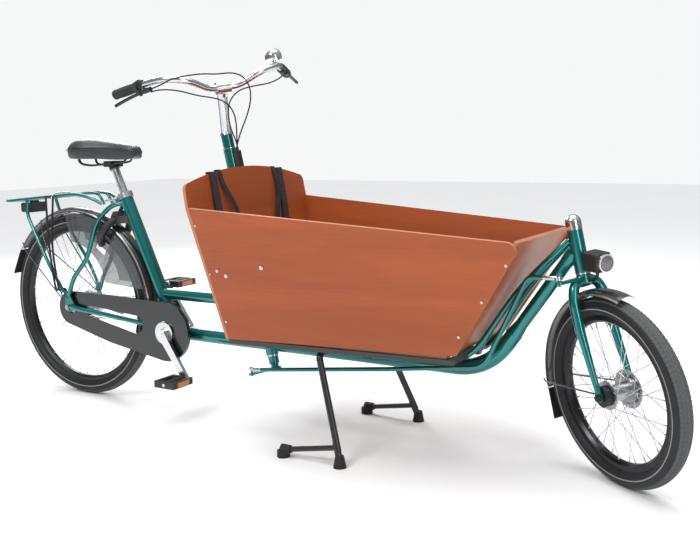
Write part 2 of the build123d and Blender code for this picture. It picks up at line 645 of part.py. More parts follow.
# elastic straps on the carrier, hooked at the eyelets
bs = []
for off in (-8.5, 8.5):
    b_ = tube([(-60 + off * 2.2, -77, z_at(-60) + 3), (-48 + off, -95, 560), (-26 + off * 0.9, -101, 420), (-14 + off * 0.7, -101, 392)], 4.0, 0.4)
    bs += [b_]
hook = tube([(-40, 0, z_at(-40) + 10), (-46, -62, z_at(-46) + 10), (-50, -78.0, z_at(-50) - 6)], 2.6, 0.4)
put("carrier_straps", [x - carrier for x in bs + [hook]])

# ================================================================ saddle and post
sd_top = st + seat_dir * 118
post = rod(st - seat_dir * 190, sd_top, POST_R)
put("seatpost", post)
SAD = V(172, 0, 880)
rails = []
for s_ in (-1, 1):
    rails.append(tube([(58, s_ * 40, 866), (66, s_ * 37, 840), (108, s_ * 27, 833), (160, s_ * 22, 838), (215, s_ * 20, 841), (252, s_ * 15, 847), (264, s_ * 12, 862)], 3.5, 0.4))
clampb = Pos(sd_top.X, 0, sd_top.Z) * Box(36, 58, 20) + rod(sd_top - seat_dir * 20, sd_top, 19)
clampb -= rod(sd_top - seat_dir * 60, sd_top - seat_dir * 0.0, POST_R)
clampb -= group(*rails)
put("saddle_frame", [r - clampb for r in rails])


def saddle():
    with BuildSketch() as top:
        with BuildLine():
            pts = [(36, 0), (42, 56), (70, 92), (110, 97), (160, 72), (205, 43), (250, 31), (288, 26), (305, 0)]
            Spline(*pts, tangents=[(0, 1), (0, -1)])
            Line((305, 0), (36, 0))
        make_face()
    half = top.sketch
    full = half + mirror(half, about=Plane.XZ)
    body = extrude(Pos(0, 0, 840) * full, amount=110)
    prof = [(230, 854), (294, 855), (312, 866), (312, 884), (292, 896), (240, 904), (190, 916), (140, 927), (90, 929), (50, 918), (30, 890)]
    with BuildSketch(Plane.XZ) as pf:
        with BuildLine():
            Spline(*prof, (30, 870))
            Polyline((30, 870), (30, 858), (60, 856), (120, 855), (180, 854), (230, 854))
        make_face()
    pr_ = extrude(pf.sketch, amount=110, both=True)
    b = body & pr_
    return b


sad = saddle()
put("saddle", sad)
put("saddle_frame", [x - sad for x in NODES["saddle_frame"].solids()] + [clampb])

# ================================================================ steering column
CLP = (138.2, 64.8)     # handlebar clamp: up the axis from the column top, ahead of the axis
shaft = rod(S(-737), S(-1), 12.7)
sleeve = ring(S(-41.5), S(0), 18.2, 12.7)
armd = V(0, -1, 0)
col_arm_c = S(-757)
shaft = rod(S(-768), S(-1), 12.7)
knuckle = ring(S(-745), S(-719.5), 17, 12.7)
A_pl = Plane(S(-764), x_dir=(0, -1, 0), z_dir=UP)


def arm_plate(pl, L, t, r0, r1):
    es = list((Pos(0, 0) * Circle(r0)).edges()) + list((Pos(L, 0) * Circle(r1)).edges())
    w = make_hull(es)
    return extrude(pl * Sketch(make_face(w.edges()).wrapped), amount=t)


c_arm = arm_plate(A_pl, ARM_L, 8, 19, 10) - rod(S(-790), S(-700), 12.7)
c_arm -= A_pl * Pos(ARM_L, 0, 0) * Cylinder(4.0, 60)
stem_top = S(CLP[0], CLP[1])
stem = cone(S(0.2), S(8), 21, 18) + Part()
stem += Solid.make_loft([(Plane(S(8), x_dir=FW, z_dir=UP) * SlotOverall(38, 32)).face().outer_wire(),
                         (Plane(S(120, 44), x_dir=FW, z_dir=(UP + FW * 0.25).normalized()) * SlotOverall(40, 30)).face().outer_wire()]) if False else rod(S(6), S(122, 42), 15.5)
stem += rod(S(118, 40), stem_top + FW * 0, 15.5) + rod(stem_top + V(0, -23, 0), stem_top + V(0, 23, 0), 19)
BAR_R = 12.7
GRIP_R = 11.1
bar_c = [(0, 0, 0), (5, 50, 0), (38, 113, 26), (30, 180, 43), (-45, 218, 52), (-187, 292, 58)]


def B(p, s_):
    return S(CLP[0] + p[2], CLP[1] + p[0], s_ * p[1])


bar_pts = [B(p, -1) for p in bar_c[::-1]] + [B(p, 1) for p in bar_c[1:]]
bar_pts = [p for p in bar_pts if not (abs(p.Y) < 1)]
bar = tube(bar_pts, GRIP_R, 0.48, rmax=90)
stem -= bar
put("stem", steer_c(stem))
put("handlebar", steer_c(bar))
gA, gB = V(*bar_c[4]), V(*bar_c[5])
gl = (gB - gA).length
gd_ = (gB - gA).normalized()
g_at = lambda d, s_: B(tuple(gA + gd_ * d), s_)
grips, rings_, mounts_ = [], [], []
for s_ in (-1, 1):
    g0 = 62 if s_ < 0 else 40
    grip = rod(g_at(g0, s_), g_at(gl + 3, s_), 16) - rod(g_at(g0 - 5, s_), g_at(gl, s_), GRIP_R)
    grips.append(grip)
    m = ring(g_at(22, s_), g_at(36, s_), 15.5, GRIP_R)
    mounts_.append((m, s_))
put("grips", [steer_c(g) for g in grips])
tw = cone(g_at(37, -1), g_at(61.5, -1), 20, 17.5) - rod(g_at(30, -1), g_at(70, -1), GRIP_R + 0.06)
put("twist_shifter", steer_c(tw))
# brake levers: pivot ahead of the bar, blade runs beside the grip
lev, levm = {}, []
LEV = {}
for m, s_ in mounts_:
    # forward direction square to the grip and to the axis
    gdir = (g_at(100, s_) - g_at(0, s_)).normalized()
    outw = gdir.cross(UP).normalized()
    if outw.X < 0:
        outw = outw * -1
    fwd = (outw * 0.75 - UP).normalized()
    pv = g_at(24, s_) + fwd * 32
    pin_ax = gdir.cross(fwd).normalized()
    blk = m + rod(g_at(29, s_), pv - gdir * 14, 7.0)
    blk += rod(pv - gdir * 22, pv - gdir * 52 - fwd * 1, 7.5)
    blk -= rod(g_at(0, s_), g_at(60, s_), GRIP_R)
    levm.append((blk, s_))
    blade = tube([pv - gdir * 4, pv + gdir * 30 + fwd * 4, pv + gdir * 72 + fwd * 10, pv + gdir * 112 + fwd * 20], 5.2, 0.45)
    blade += rod(pv - pin_ax * 8, pv + pin_ax * 8, 7.0)
    lev[s_] = blade
    LEV[s_] = (pv, pin_ax, gdir, fwd)
cut_l = {}
for blk, s_ in levm:
    pv, pin_ax, gdir, fwd = LEV[s_]
    room = rod(pv - pin_ax * 8.4, pv + pin_ax * 8.4, 7.4) + rod(pv - gdir * 5, pv + gdir * 40, 6.0)
    cut_l[s_] = blk - room
put("lever_mounts", [steer_c(cut_l[-1]), steer_c(cut_l[1])])
put("brake_lever_right", steer_c(lev[-1]))
put("brake_lever_left", steer_c(lev[1]))
# bell on the left of the bar
bl = B((20, 178, 43), 1)
bell_b = rod(bl + UP * 11.5, bl + UP * 22, 6)
bell_d = Plane(bl + UP * 22, x_dir=FW, z_dir=UP) * (Cylinder(27, 8, align=(Align.CENTER, Align.CENTER, Align.MIN)) + Pos(0, 0, 8) * (Sphere(27) & Pos(0, 0, 50) * Box(100, 100, 100)) )
put("bell", steer_c((bell_b + bell_d) - bar))

# cable cover on the front of the column
cvp = Plane(S(-56, 20.4), x_dir=FW, z_dir=UP)
cover = cvp * Pos(7, 0, -38) * Box(15, 30, 76)
cover = fillet(cover.edges().filter_by(lambda e: abs((e @ 1 - e @ 0).normalized().dot(UP)) > 0.99), 5)
cover += rod(S(-82, 36), S(-82, 37.4), 4)
cover -= col_tube
put("cable_cover", cover)

# ================================================================ fork and everything that steers with it
blade = tube([H(166, 0, -10), H(180, 2, -38), H(216, 6, -51), H(300, 12, -53)], 13.5, 0.42)
blade += cone(H(286, 11.0, -52.6), H(A_AXLE - 14, OFFSET - 2, -55), 12.7, 7.5)
eye = hull_plate([(FRONT.X, FRONT.Z, 13), (H(A_AXLE - 26, OFFSET - 4).X, H(A_AXLE - 26, OFFSET - 4).Z, 9)], -57.5, -52.5)
fork_side = blade + eye
fork_side -= yd(FRONT.X, FRONT.Z, -70, -40, 5.0)
fork = fork_side + mir(fork_side) + rod(H(176), H(153.3), 19) + rod(H(160), H(4), 12.7)
fork += rod(H(176, 0, -14), H(176, 0, 14), 11.5)
F_pl = Plane(H(168), x_dir=(0, -1, 0), z_dir=UP)
f_arm = arm_plate(F_pl, ARM_L, 8, 17, 10)
f_arm -= F_pl * Pos(ARM_L, 0, 0) * Cylinder(4.6, 60)
fork += f_arm
put("fork", steer_h(fork))
dome = ring(H(31.8), H(16), 21, 12.7)
dome += rod(H(16), H(4), 21) - rod(H(16), H(4.0), 12.7)
dm = (Plane(H(16), x_dir=FW, z_dir=UP) * Sphere(21)) & (Plane(H(16), x_dir=FW, z_dir=UP) * Box(60, 60, 40, align=(Align.CENTER, Align.CENTER, Align.MIN)))
dome = ring(H(31.8), H(16), 21, 12.7) + (dm - rod(H(20), H(4), 12.7))
put("head_dome", steer_h(dome))
nf = (Pos(FRONT.X, -57.6, FRONT.Z) * nut) + yd(FRONT.X, FRONT.Z, -68, -57.5, 5.0)
ax_f = yd(FRONT.X, FRONT.Z, -57.5, 57.5, 5.0) + nf + mir(nf)
ax_f = ax_f - (eye + mir(eye)) - fork_side - mir(fork_side)
# front roller brake on the left: drum, finned disc, reaction arm up the blade
fb = yd(FRONT.X, FRONT.Z, 36, 49, 36) + yd(FRONT.X, FRONT.Z, 38, 40.5, 52)
fb += yd(FRONT.X, FRONT.Z, 33.6, 36, 34)
fb -= yd(FRONT.X, FRONT.Z, 20, 80, 5.06)
fb -= fork_side + mir(fork_side)
dyn = yd(FRONT.X, FRONT.Z, -49, -34, 27) - yd(FRONT.X, FRONT.Z, -60, -20, 5.06) - fork_side
put("front_axle_brake", [steer_h(ax_f), steer_h(fb), steer_h(dyn)])
ff = arc_band(0, 276.0, 30.0, 78, 192, FRONT.X, FRONT.Z)
ff -= fork
fl = flap(273, 192.2, 88, 24, 36, FRONT.X, FRONT.Z).rotate(Axis(V(FRONT.X + 273 * cos(radians(192.2)), 0, FRONT.Z + 273 * sin(radians(192.2))), V(0, 1, 0)), -12)
put("front_mudflap", steer_h(fl))
fs = []
p = V(FRONT.X + 270 * cos(radians(186)), -32.4, FRONT.Z + 270 * sin(radians(186)))
w = tube([p, V(p.X + 24, -44, p.Z + 1), V(FRONT.X - 16, -60.2, FRONT.Z + 8)], 2.4, 0.4)
fs = [w, mir(w)]
put("front_fender", [steer_h(x) for x in [ff - group(*fs)] + fs])
# lamp: bracket from the crown, housing, lens
LP = H(124, 64)
br = tube([H(170, 14), H(172, 40), H(164, 56), H(146, 60)], 4.5, 0.4) - rod(H(180), H(150), 19)
lamp = Plane(LP, x_dir=V(1, 0, 0), z_dir=V(0, 0, 1)) * (Box(60, 46, 50))
lamp = fillet(lamp.edges(), 6)
lamp -= br
lens = Plane(LP + V(33.6, 0, -2), x_dir=V(1, 0, 0), z_dir=V(0, 0, 1)) * Box(5, 40, 38)
put("front_lamp", [steer_h(lamp), steer_h(lens), steer_h(br - fork)])

# ================================================================ tie rod
def rest_arm(base):
    d = V(0, -1, 0) * ARM_L
    q = base + d
    return Vertex(q.X, q.Y, q.Z)


PRC = turned(S(-760, 0, -ARM_L), COLV)
PRH = turned(H(164, 0, -ARM_L), HEADV)
lowc = PRC + UP * 14
lowh = PRH + UP * 14
yr = lowc.Y
rodt = tube([(lowc.X + 40, yr, lowc.Z + 4), (1300, yr, 250), (1598, yr, 291), (lowh.X - 40 - 42, yr, lowh.Z), (lowh.X - 40, yr, lowh.Z)], 6.5, 0.42, rmax=60)
endr = rod(lowc - UP * 5, lowc + UP * 5, 10) + rod(lowc, V(lowc.X + 42, yr, lowc.Z + 4.2), 6.0)
endr -= rod(lowc - UP * 20, lowc + UP * 20, 4.0)
endr -= rodt
endf = rod(lowh - UP * 5, lowh + UP * 5, 10) + rod(lowh, V(lowh.X - 42, yr, lowh.Z), 6.0)
endf -= rod(lowh - UP * 20, lowh + UP * 20, 4.0)
endf -= rodt
put("tie_rod", rodt)
studr = rod(PRC - UP * 8, lowc + UP * 8, 3.96)
studf = rod(PRH - UP * 8, lowh + UP * 8, 3.96)
put("rod_ends", [endr, endf])
put("steering_shaft", [steer_c(shaft + knuckle), steer_c(sleeve), steer_c(c_arm), studr])
NODES["fork"] = group(NODES["fork"], studf)

# ================================================================ stand
sx, sz = STAND_PIVOT
stand = yd(sx, sz, -178, 178, 10.0)
leg = tube([(sx, -176, sz), (sx + 0.5, -186, sz - 10), (1232, -239, 42)], 10.0, 0.4) + rod((1221, -233.5, 68), (1237.5, -242, 22), 10.0)
strutr = rod((1222, -236, 52), (1062, -243, 24), 8.0)
st_side = leg + strutr
stand = stand + st_side + mir(st_side)
put("stand", stand)
feet = []
for s_ in (-1, 1):
    f1 = cone((1239.6, s_ * 244, 34), (1239.6, s_ * 244, 0.0), 12.5, 19)
    f2 = cone((1074, s_ * 243, 27), (1047, s_ * 244, 19.5), 11, 19) + rod((1047, s_ * 244, 0), (1047, s_ * 244, 19.5), 19)
    feet += [f1 - stand, f2 - stand]
put("stand_feet", feet)

# ================================================================ cables
def cable(pts, r=2.2):
    ln, rad = path_of(pts, 0.45)
    print("cable radii", [round(x, 1) for x in rad], "length", round(ln.length, 1))
    return sweep(Plane(ln @ 0, z_dir=ln % 0) * Circle(r), path=ln)


def RC(v):
    """a point that turns with the column, in its rest place"""
    return turned(v, COLV)


ends = {}
for s_ in (-1, 1):
    pv, pin_ax, gdir, fwd = LEV[s_]
    a, b = RC(pv - gdir * 52 - fwd), RC(pv - gdir * 22)
    ends[s_] = (a, (a - b).normalized())
a, d = ends[-1]
c1 = [a, a + d * 45, V(652, -208, 1100), V(692, -158, 1112), V(712, -124, 1115), V(729.6, -92, 1114), V(767.4, -62, 1119.6), V(797, -45, 1106), V(810, -33, 1076), V(805.8, -24, 1041),
      V(792, -17, 1010), V(774, -13, 976), V(754, -10, 945), V(739, -8, 914), V(729, -8, 883.3)]
g0 = RC(g_at(22, -1) + V(0, 0, 0))
a2 = a - (RC(UP * 1) - RC(V(0, 0, 0))) * 9
c2 = [a2, a2 + d * 34, V(650, -176, 1066), V(682, -128, 1050), V(712, -84, 1044), V(733, -52, 1030), V(743, -30, 1000), V(740, -16, 962), V(732, -6, 928), V(727, 0, 882.5)]
e, d3 = ends[1]
c3 = [e, e + d3 * 30, V(838, 98, 1108), V(818, 58, 1088), V(782, 14, 1080), V(748, -18, 1066), V(721, -28, 1030), V(713, -22, 988), V(711, -7, 946), V(719, 5, 914), V(725.5, 8.6, 882.6)]
put("bar_cables", [cable(c1), cable(c2), cable(c3)])
print("cable ends", ends)

for f_old in os.listdir("parts"):
    if f_old.endswith(".step"):
        os.remove(os.path.join("parts", f_old))
for n, s in NODES.items():
    sol = s.solids()
    export_step(s if isinstance(s, Compound) else Compound(children=list(sol)), f"parts/{n}.step")
print("nodes", len(NODES))
def vt(v):
    return [round(v.X / 1000, 6), round(v.Y / 1000, 6), round(v.Z / 1000, 6)]


def vd(v):
    return [round(v.X, 6), round(v.Y, 6), round(v.Z, 6)]


def RCd(v):
    return RC(COLV + v) - COLV


print("JOINTS up", vd(UP), "head", vt(HEADV), "col", vt(COLV), "front axle", vt(turned(FRONT, HEADV)),
      "front spin axis", vd(turned(HEADV + YV, HEADV) - HEADV))
print("rod rear", vt(PRC), "rod front", vt(PRH), "seat dir", vd(seat_dir), "lever", vt(lev_o), "lock c", vt(LC), "lock axis", vd(tan_d), "ysg", ysg)
for s_ in (-1, 1):
    pv, pin_ax, gdir, fwd = LEV[s_]
    print("lever", s_, vt(RC(pv)), vd(RCd(pin_ax)), "grip dir", vd(RCd(gdir)), "fwd", vd(RCd(fwd)))
print("twist", vt(RC(g_at(50, -1))), "pedals", PED_R, PED_L, "Z_FRONT", Z_FRONT, "A_AXLE", A_AXLE)
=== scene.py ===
import bpy, bmesh, json, math
from mathutils import Vector, Matrix, noise
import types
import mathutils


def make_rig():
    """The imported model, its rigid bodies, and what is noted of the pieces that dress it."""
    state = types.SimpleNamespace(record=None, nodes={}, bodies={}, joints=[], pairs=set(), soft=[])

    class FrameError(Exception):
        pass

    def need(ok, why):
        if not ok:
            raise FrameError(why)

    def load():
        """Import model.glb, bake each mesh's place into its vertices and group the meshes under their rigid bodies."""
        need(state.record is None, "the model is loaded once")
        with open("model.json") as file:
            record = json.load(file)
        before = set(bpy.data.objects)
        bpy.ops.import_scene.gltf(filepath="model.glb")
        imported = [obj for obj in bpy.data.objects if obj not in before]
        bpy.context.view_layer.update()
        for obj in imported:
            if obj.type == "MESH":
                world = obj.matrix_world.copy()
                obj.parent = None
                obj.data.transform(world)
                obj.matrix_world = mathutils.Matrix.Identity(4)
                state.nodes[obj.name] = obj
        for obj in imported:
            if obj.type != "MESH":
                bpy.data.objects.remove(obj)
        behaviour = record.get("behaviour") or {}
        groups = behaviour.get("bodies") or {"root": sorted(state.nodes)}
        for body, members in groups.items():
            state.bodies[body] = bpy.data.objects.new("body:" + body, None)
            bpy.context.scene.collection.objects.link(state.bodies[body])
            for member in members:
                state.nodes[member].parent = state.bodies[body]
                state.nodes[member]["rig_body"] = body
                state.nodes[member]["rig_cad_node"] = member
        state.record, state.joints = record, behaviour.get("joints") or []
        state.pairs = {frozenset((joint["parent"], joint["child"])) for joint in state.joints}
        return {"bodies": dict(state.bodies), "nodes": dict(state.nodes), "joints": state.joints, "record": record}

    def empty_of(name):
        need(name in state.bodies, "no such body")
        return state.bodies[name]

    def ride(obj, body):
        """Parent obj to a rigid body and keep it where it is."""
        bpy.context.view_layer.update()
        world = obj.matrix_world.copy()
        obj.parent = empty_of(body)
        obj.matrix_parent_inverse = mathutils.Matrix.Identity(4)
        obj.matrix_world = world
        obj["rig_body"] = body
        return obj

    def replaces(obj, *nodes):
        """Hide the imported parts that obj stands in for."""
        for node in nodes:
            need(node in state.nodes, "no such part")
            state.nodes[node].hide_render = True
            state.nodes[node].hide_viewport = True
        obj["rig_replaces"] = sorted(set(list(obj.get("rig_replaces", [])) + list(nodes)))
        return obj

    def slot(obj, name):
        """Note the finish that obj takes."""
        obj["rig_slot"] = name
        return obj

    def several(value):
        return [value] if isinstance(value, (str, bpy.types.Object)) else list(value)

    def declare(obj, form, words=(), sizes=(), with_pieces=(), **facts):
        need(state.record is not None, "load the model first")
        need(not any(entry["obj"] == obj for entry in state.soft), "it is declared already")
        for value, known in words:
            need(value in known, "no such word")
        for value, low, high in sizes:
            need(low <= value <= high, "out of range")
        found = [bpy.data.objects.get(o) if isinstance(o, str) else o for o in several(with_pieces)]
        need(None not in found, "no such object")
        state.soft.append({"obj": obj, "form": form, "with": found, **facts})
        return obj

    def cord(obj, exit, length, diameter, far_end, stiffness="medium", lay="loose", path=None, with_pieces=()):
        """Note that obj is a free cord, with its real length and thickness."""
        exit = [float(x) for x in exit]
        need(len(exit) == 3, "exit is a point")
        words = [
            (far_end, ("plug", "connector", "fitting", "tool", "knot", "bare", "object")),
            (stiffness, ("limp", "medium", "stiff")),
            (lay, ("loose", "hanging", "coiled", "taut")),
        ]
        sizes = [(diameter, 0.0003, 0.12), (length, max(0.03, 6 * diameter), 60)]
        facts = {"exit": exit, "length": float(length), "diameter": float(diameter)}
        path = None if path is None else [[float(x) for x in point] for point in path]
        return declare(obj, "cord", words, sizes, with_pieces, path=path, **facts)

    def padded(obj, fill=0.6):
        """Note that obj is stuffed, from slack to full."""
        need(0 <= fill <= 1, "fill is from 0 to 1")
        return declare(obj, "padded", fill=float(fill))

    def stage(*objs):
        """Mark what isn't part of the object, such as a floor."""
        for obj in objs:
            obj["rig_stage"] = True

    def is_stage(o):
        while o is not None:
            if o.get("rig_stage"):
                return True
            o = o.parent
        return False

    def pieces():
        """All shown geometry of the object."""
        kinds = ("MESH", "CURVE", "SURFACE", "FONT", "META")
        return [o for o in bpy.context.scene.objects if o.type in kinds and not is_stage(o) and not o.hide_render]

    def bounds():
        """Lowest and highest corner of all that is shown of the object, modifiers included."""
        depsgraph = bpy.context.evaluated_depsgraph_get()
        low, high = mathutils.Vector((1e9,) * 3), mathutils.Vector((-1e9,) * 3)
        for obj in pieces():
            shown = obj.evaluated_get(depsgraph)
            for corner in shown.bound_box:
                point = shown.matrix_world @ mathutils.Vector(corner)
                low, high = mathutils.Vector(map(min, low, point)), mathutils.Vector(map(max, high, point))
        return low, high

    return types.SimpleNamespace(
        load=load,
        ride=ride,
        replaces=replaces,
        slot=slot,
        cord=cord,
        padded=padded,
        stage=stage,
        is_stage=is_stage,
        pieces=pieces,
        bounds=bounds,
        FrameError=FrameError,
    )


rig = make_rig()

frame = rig.load()
LO0, HI0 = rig.bounds()
LO0, HI0 = list(LO0), list(HI0)
N = frame["nodes"]
sin, cos, pi, rad = math.sin, math.cos, math.pi, math.radians
scene = bpy.context.scene
COLL = scene.collection

# ------------------------------------------------------------------ camera
cam_d = bpy.data.cameras.new("cam")
cam = bpy.data.objects.new("cam", cam_d)
COLL.objects.link(cam)
R_ = Vector((0.85738646, 0.51437928, -0.01739006))
U_ = Vector((-0.06096244, 0.13504913, 0.98896173))
F_ = Vector((-0.51104994, 0.84686226, -0.14714711))
C_ = Vector((2.57884433, -2.38953229, 0.92523605))
m = Matrix(((R_.x, U_.x, -F_.x, C_.x), (R_.y, U_.y, -F_.y, C_.y), (R_.z, U_.z, -F_.z, C_.z), (0, 0, 0, 1)))
cam.matrix_world = m
cam_d.sensor_width = 36.0
cam_d.lens = 938.083 / 700.0 * 36.0
cam_d.clip_start, cam_d.clip_end = 0.05, 60.0
scene.camera = cam

# ------------------------------------------------------------------ steering directions
TILT, STEER = rad(12.5), rad(35.0)
UP = Vector((-sin(TILT), 0, cos(TILT)))
FW = Vector((cos(TILT), 0, sin(TILT)))
COL = Vector((0.6866, 0, 0.9295))
HEAD = Vector((1.8155, 0, 0.7044))
ROT = Matrix.Rotation(-STEER, 3, UP)


def RC(v):
    return COL + ROT @ (Vector(v) - COL)


def RH(v):
    return HEAD + ROT @ (Vector(v) - HEAD)


def S(u, e=0.0, y=0.0):
    return COL + UP * u + FW * e + Vector((0, y, 0))


def H(a, e=0.0, y=0.0):
    return HEAD - UP * a + FW * e + Vector((0, y, 0))


F_AXLE = Vector((1.949081, -0.022943, 0.25324))
F_SPIN = Vector((0.55998, 0.819152, 0.124145)).normalized()
R_AXLE = Vector((0, 0, 0.330))
Y_ = Vector((0, 1, 0))


# ------------------------------------------------------------------ node helper
class Mat:
    def __init__(s, name):
        s.m = bpy.data.materials.new(name)
        s.m.use_nodes = True
        s.nt = s.m.node_tree
        s.nt.nodes.clear()
        s.out = s.nt.nodes.new("ShaderNodeOutputMaterial")
        s.p = s.nt.nodes.new("ShaderNodeBsdfPrincipled")
        s.nt.links.new(s.p.outputs[0], s.out.inputs[0])

    def n(s, kind, **k):
        x = s.nt.nodes.new("ShaderNode" + kind)
        for a, v in k.items():
            setattr(x, a, v)
        return x

    def link(s, a, b):
        s.nt.links.new(a, b)

    def coord(s, which="Object"):
        return s.n("TexCoord").outputs[which]

    def mapping(s, src, scale=(1, 1, 1), rot=(0, 0, 0), loc=(0, 0, 0)):
        x = s.n("Mapping")
        x.inputs["Scale"].default_value = scale
        x.inputs["Rotation"].default_value = rot
        x.inputs["Location"].default_value = loc
        s.link(src, x.inputs[0])
        return x.outputs[0]

    def noise(s, src, scale, detail=3.0, rough=0.5, dist=0.0):
        x = s.n("TexNoise")
        x.inputs["Scale"].default_value = scale
        x.inputs["Detail"].default_value = detail
        x.inputs["Roughness"].default_value = rough
        x.inputs["Distortion"].default_value = dist
        s.link(src, x.inputs["Vector"])
        return x.outputs[0]

    def voronoi(s, src, scale, out="Distance", feature="F1"):
        x = s.n("TexVoronoi", feature=feature)
        x.inputs["Scale"].default_value = scale
        s.link(src, x.inputs["Vector"])
        return x.outputs[out]

    def ramp(s, src, stops):
        x = s.n("ValToRGB")
        e = x.color_ramp.elements
        e[0].position, e[0].color = stops[0][0], tuple(stops[0][1]) + (1,)
        e[1].position, e[1].color = stops[-1][0], tuple(stops[-1][1]) + (1,)
        for p, c in stops[1:-1]:
            q = e.new(p)
            q.color = tuple(c) + (1,)
        s.link(src, x.inputs[0])
        return x.outputs[0]

    def math(s, op, a, b=None, clamp=False):
        x = s.n("Math", operation=op, use_clamp=clamp)
        for i, v in enumerate((a, b)):
            if v is None:
                continue
            if isinstance(v, (int, float)):
                x.inputs[i].default_value = v
            else:
                s.link(v, x.inputs[i])
        return x.outputs[0]

    def mix(s, f, a, b):
        x = s.n("Mix", data_type="RGBA")
        for i, v in ((0, f), (6, a), (7, b)):
            if isinstance(v, (int, float)):
                x.inputs[i].default_value = v
            elif isinstance(v, (tuple, list)):
                x.inputs[i].default_value = tuple(v) + (1,)
            else:
                s.link(v, x.inputs[i])
        return x.outputs[2]

    def mixv(s, f, a, b):
        x = s.n("Mix", data_type="FLOAT")
        for i, v in ((0, f), (2, a), (3, b)):
            if isinstance(v, (int, float)):
                x.inputs[i].default_value = v
            else:
                s.link(v, x.inputs[i])
        return x.outputs[0]

    def xyz(s, src):
        x = s.n("SeparateXYZ")
        s.link(src, x.inputs[0])
        return x.outputs

    def dot(s, a, v):
        x = s.n("VectorMath", operation="DOT_PRODUCT")
        s.link(a, x.inputs[0])
        x.inputs[1].default_value = v
        return x.outputs["Value"]

    def bump(s, h, strength, dist, after=None):
        x = s.n("Bump")
        x.inputs["Strength"].default_value = strength
        x.inputs["Distance"].default_value = dist
        s.link(h, x.inputs["Height"])
        if after is not None:
            s.link(after, x.inputs["Normal"])
        return x.outputs[0]

    def normal(s, b):
        s.link(b, s.p.inputs["Normal"])

    def col(s, c):
        if isinstance(c, (tuple, list)):
            s.p.inputs["Base Color"].default_value = tuple(c) + (1,)
        else:
            s.link(c, s.p.inputs["Base Color"])

    def set(s, **k):
        names = {"rough": "Roughness", "metal": "Metallic", "coat": "Coat Weight", "coat_rough": "Coat Roughness", "ior": "IOR",
                 "trans": "Transmission Weight", "alpha": "Alpha", "sheen": "Sheen Weight", "sheen_rough": "Sheen Roughness",
                 "spec": "Specular IOR Level", "aniso": "Anisotropic", "emit": "Emission Strength"}
        for a, v in k.items():
            if isinstance(v, (int, float)):
                s.p.inputs[names[a]].default_value = v
            else:
                s.link(v, s.p.inputs[names[a]])
        return s


def lin(r, g, b):
    f = lambda c: ((c / 255 + 0.055) / 1.055) ** 2.4 if c > 10 else c / 255 / 12.92
    return (f(r), f(g), f(b))


# ------------------------------------------------------------------ materials
def m_paint(name, dark, light, flake=0.16, metal=0.75, rough=0.30):
    """metallic paint: fine flakes, soft large changes, clear coat with a little orange peel"""
    a = Mat(name)
    c = a.coord()
    big = a.noise(c, 5.0, 2.0)
    fl = a.voronoi(c, 1500.0, "Color")
    flv = a.xyz(fl)[0]
    base = a.mix(a.math("MULTIPLY", big, 1.0), dark, light)
    base = a.mix(a.math("MULTIPLY", flv, flake), base, tuple(min(1, x * 2.2 + 0.03) for x in light))
    wear = a.noise(c, 60.0, 5.0, 0.65)
    scuff = a.math("GREATER_THAN", wear, 0.72)
    base = a.mix(a.math("MULTIPLY", scuff, 0.18), base, tuple(x * 0.5 for x in dark))
    a.col(base)
    r = a.noise(c, 35.0, 3.0)
    a.set(metal=metal, rough=a.mixv(r, rough - 0.06, rough + 0.07), coat=1.0, coat_rough=0.06)
    a.normal(a.bump(a.noise(c, 420.0, 2.0), 0.04, 0.0006))
    return a.m


def m_coat(name, col, rough=0.42, grain=900.0, metal=0.0, coat=0.15, var=0.35, bump=0.12):
    """powder coat or moulded plastic: fine grain, dust and small rubbed places"""
    a = Mat(name)
    c = a.coord()
    big = a.noise(c, 9.0, 4.0, 0.6)
    fine = a.noise(c, grain, 2.0)
    dust = a.ramp(big, [(0.35, (0, 0, 0)), (0.8, (1, 1, 1))])
    lighter = tuple(min(1, x * 1.7 + 0.006) for x in col)
    base = a.mix(a.math("MULTIPLY", dust, var), col, lighter)
    base = a.mix(a.math("MULTIPLY", fine, 0.25), base, tuple(x * 0.6 for x in col))
    a.col(base)
    a.set(metal=metal, rough=a.mixv(big, rough - 0.07, rough + 0.1), coat=coat, coat_rough=0.2)
    a.normal(a.bump(fine, bump, 0.0008))
    return a.m


def m_metal(name, col, rough=0.22, brush=(40, 40, 900), aniso=0.0, grime=0.25):
    """bare metal: fine drawn lines, cloudy roughness, a little grime in places"""
    a = Mat(name)
    c = a.coord()
    b = a.noise(a.mapping(c, brush), 1.0, 3.0, 0.6)
    cl = a.noise(c, 22.0, 4.0, 0.6)
    g = a.ramp(cl, [(0.45, (0, 0, 0)), (0.85, (1, 1, 1))])
    base = a.mix(a.math("MULTIPLY", b, 0.35), col, tuple(x * 0.8 for x in col))
    base = a.mix(a.math("MULTIPLY", g, grime), base, tuple(x * 0.45 for x in col))
    a.col(base)
    a.set(metal=1.0, rough=a.mixv(cl, max(0.03, rough - 0.08), rough + 0.1), aniso=aniso)
    a.normal(a.bump(b, 0.05, 0.0004))
    return a.m


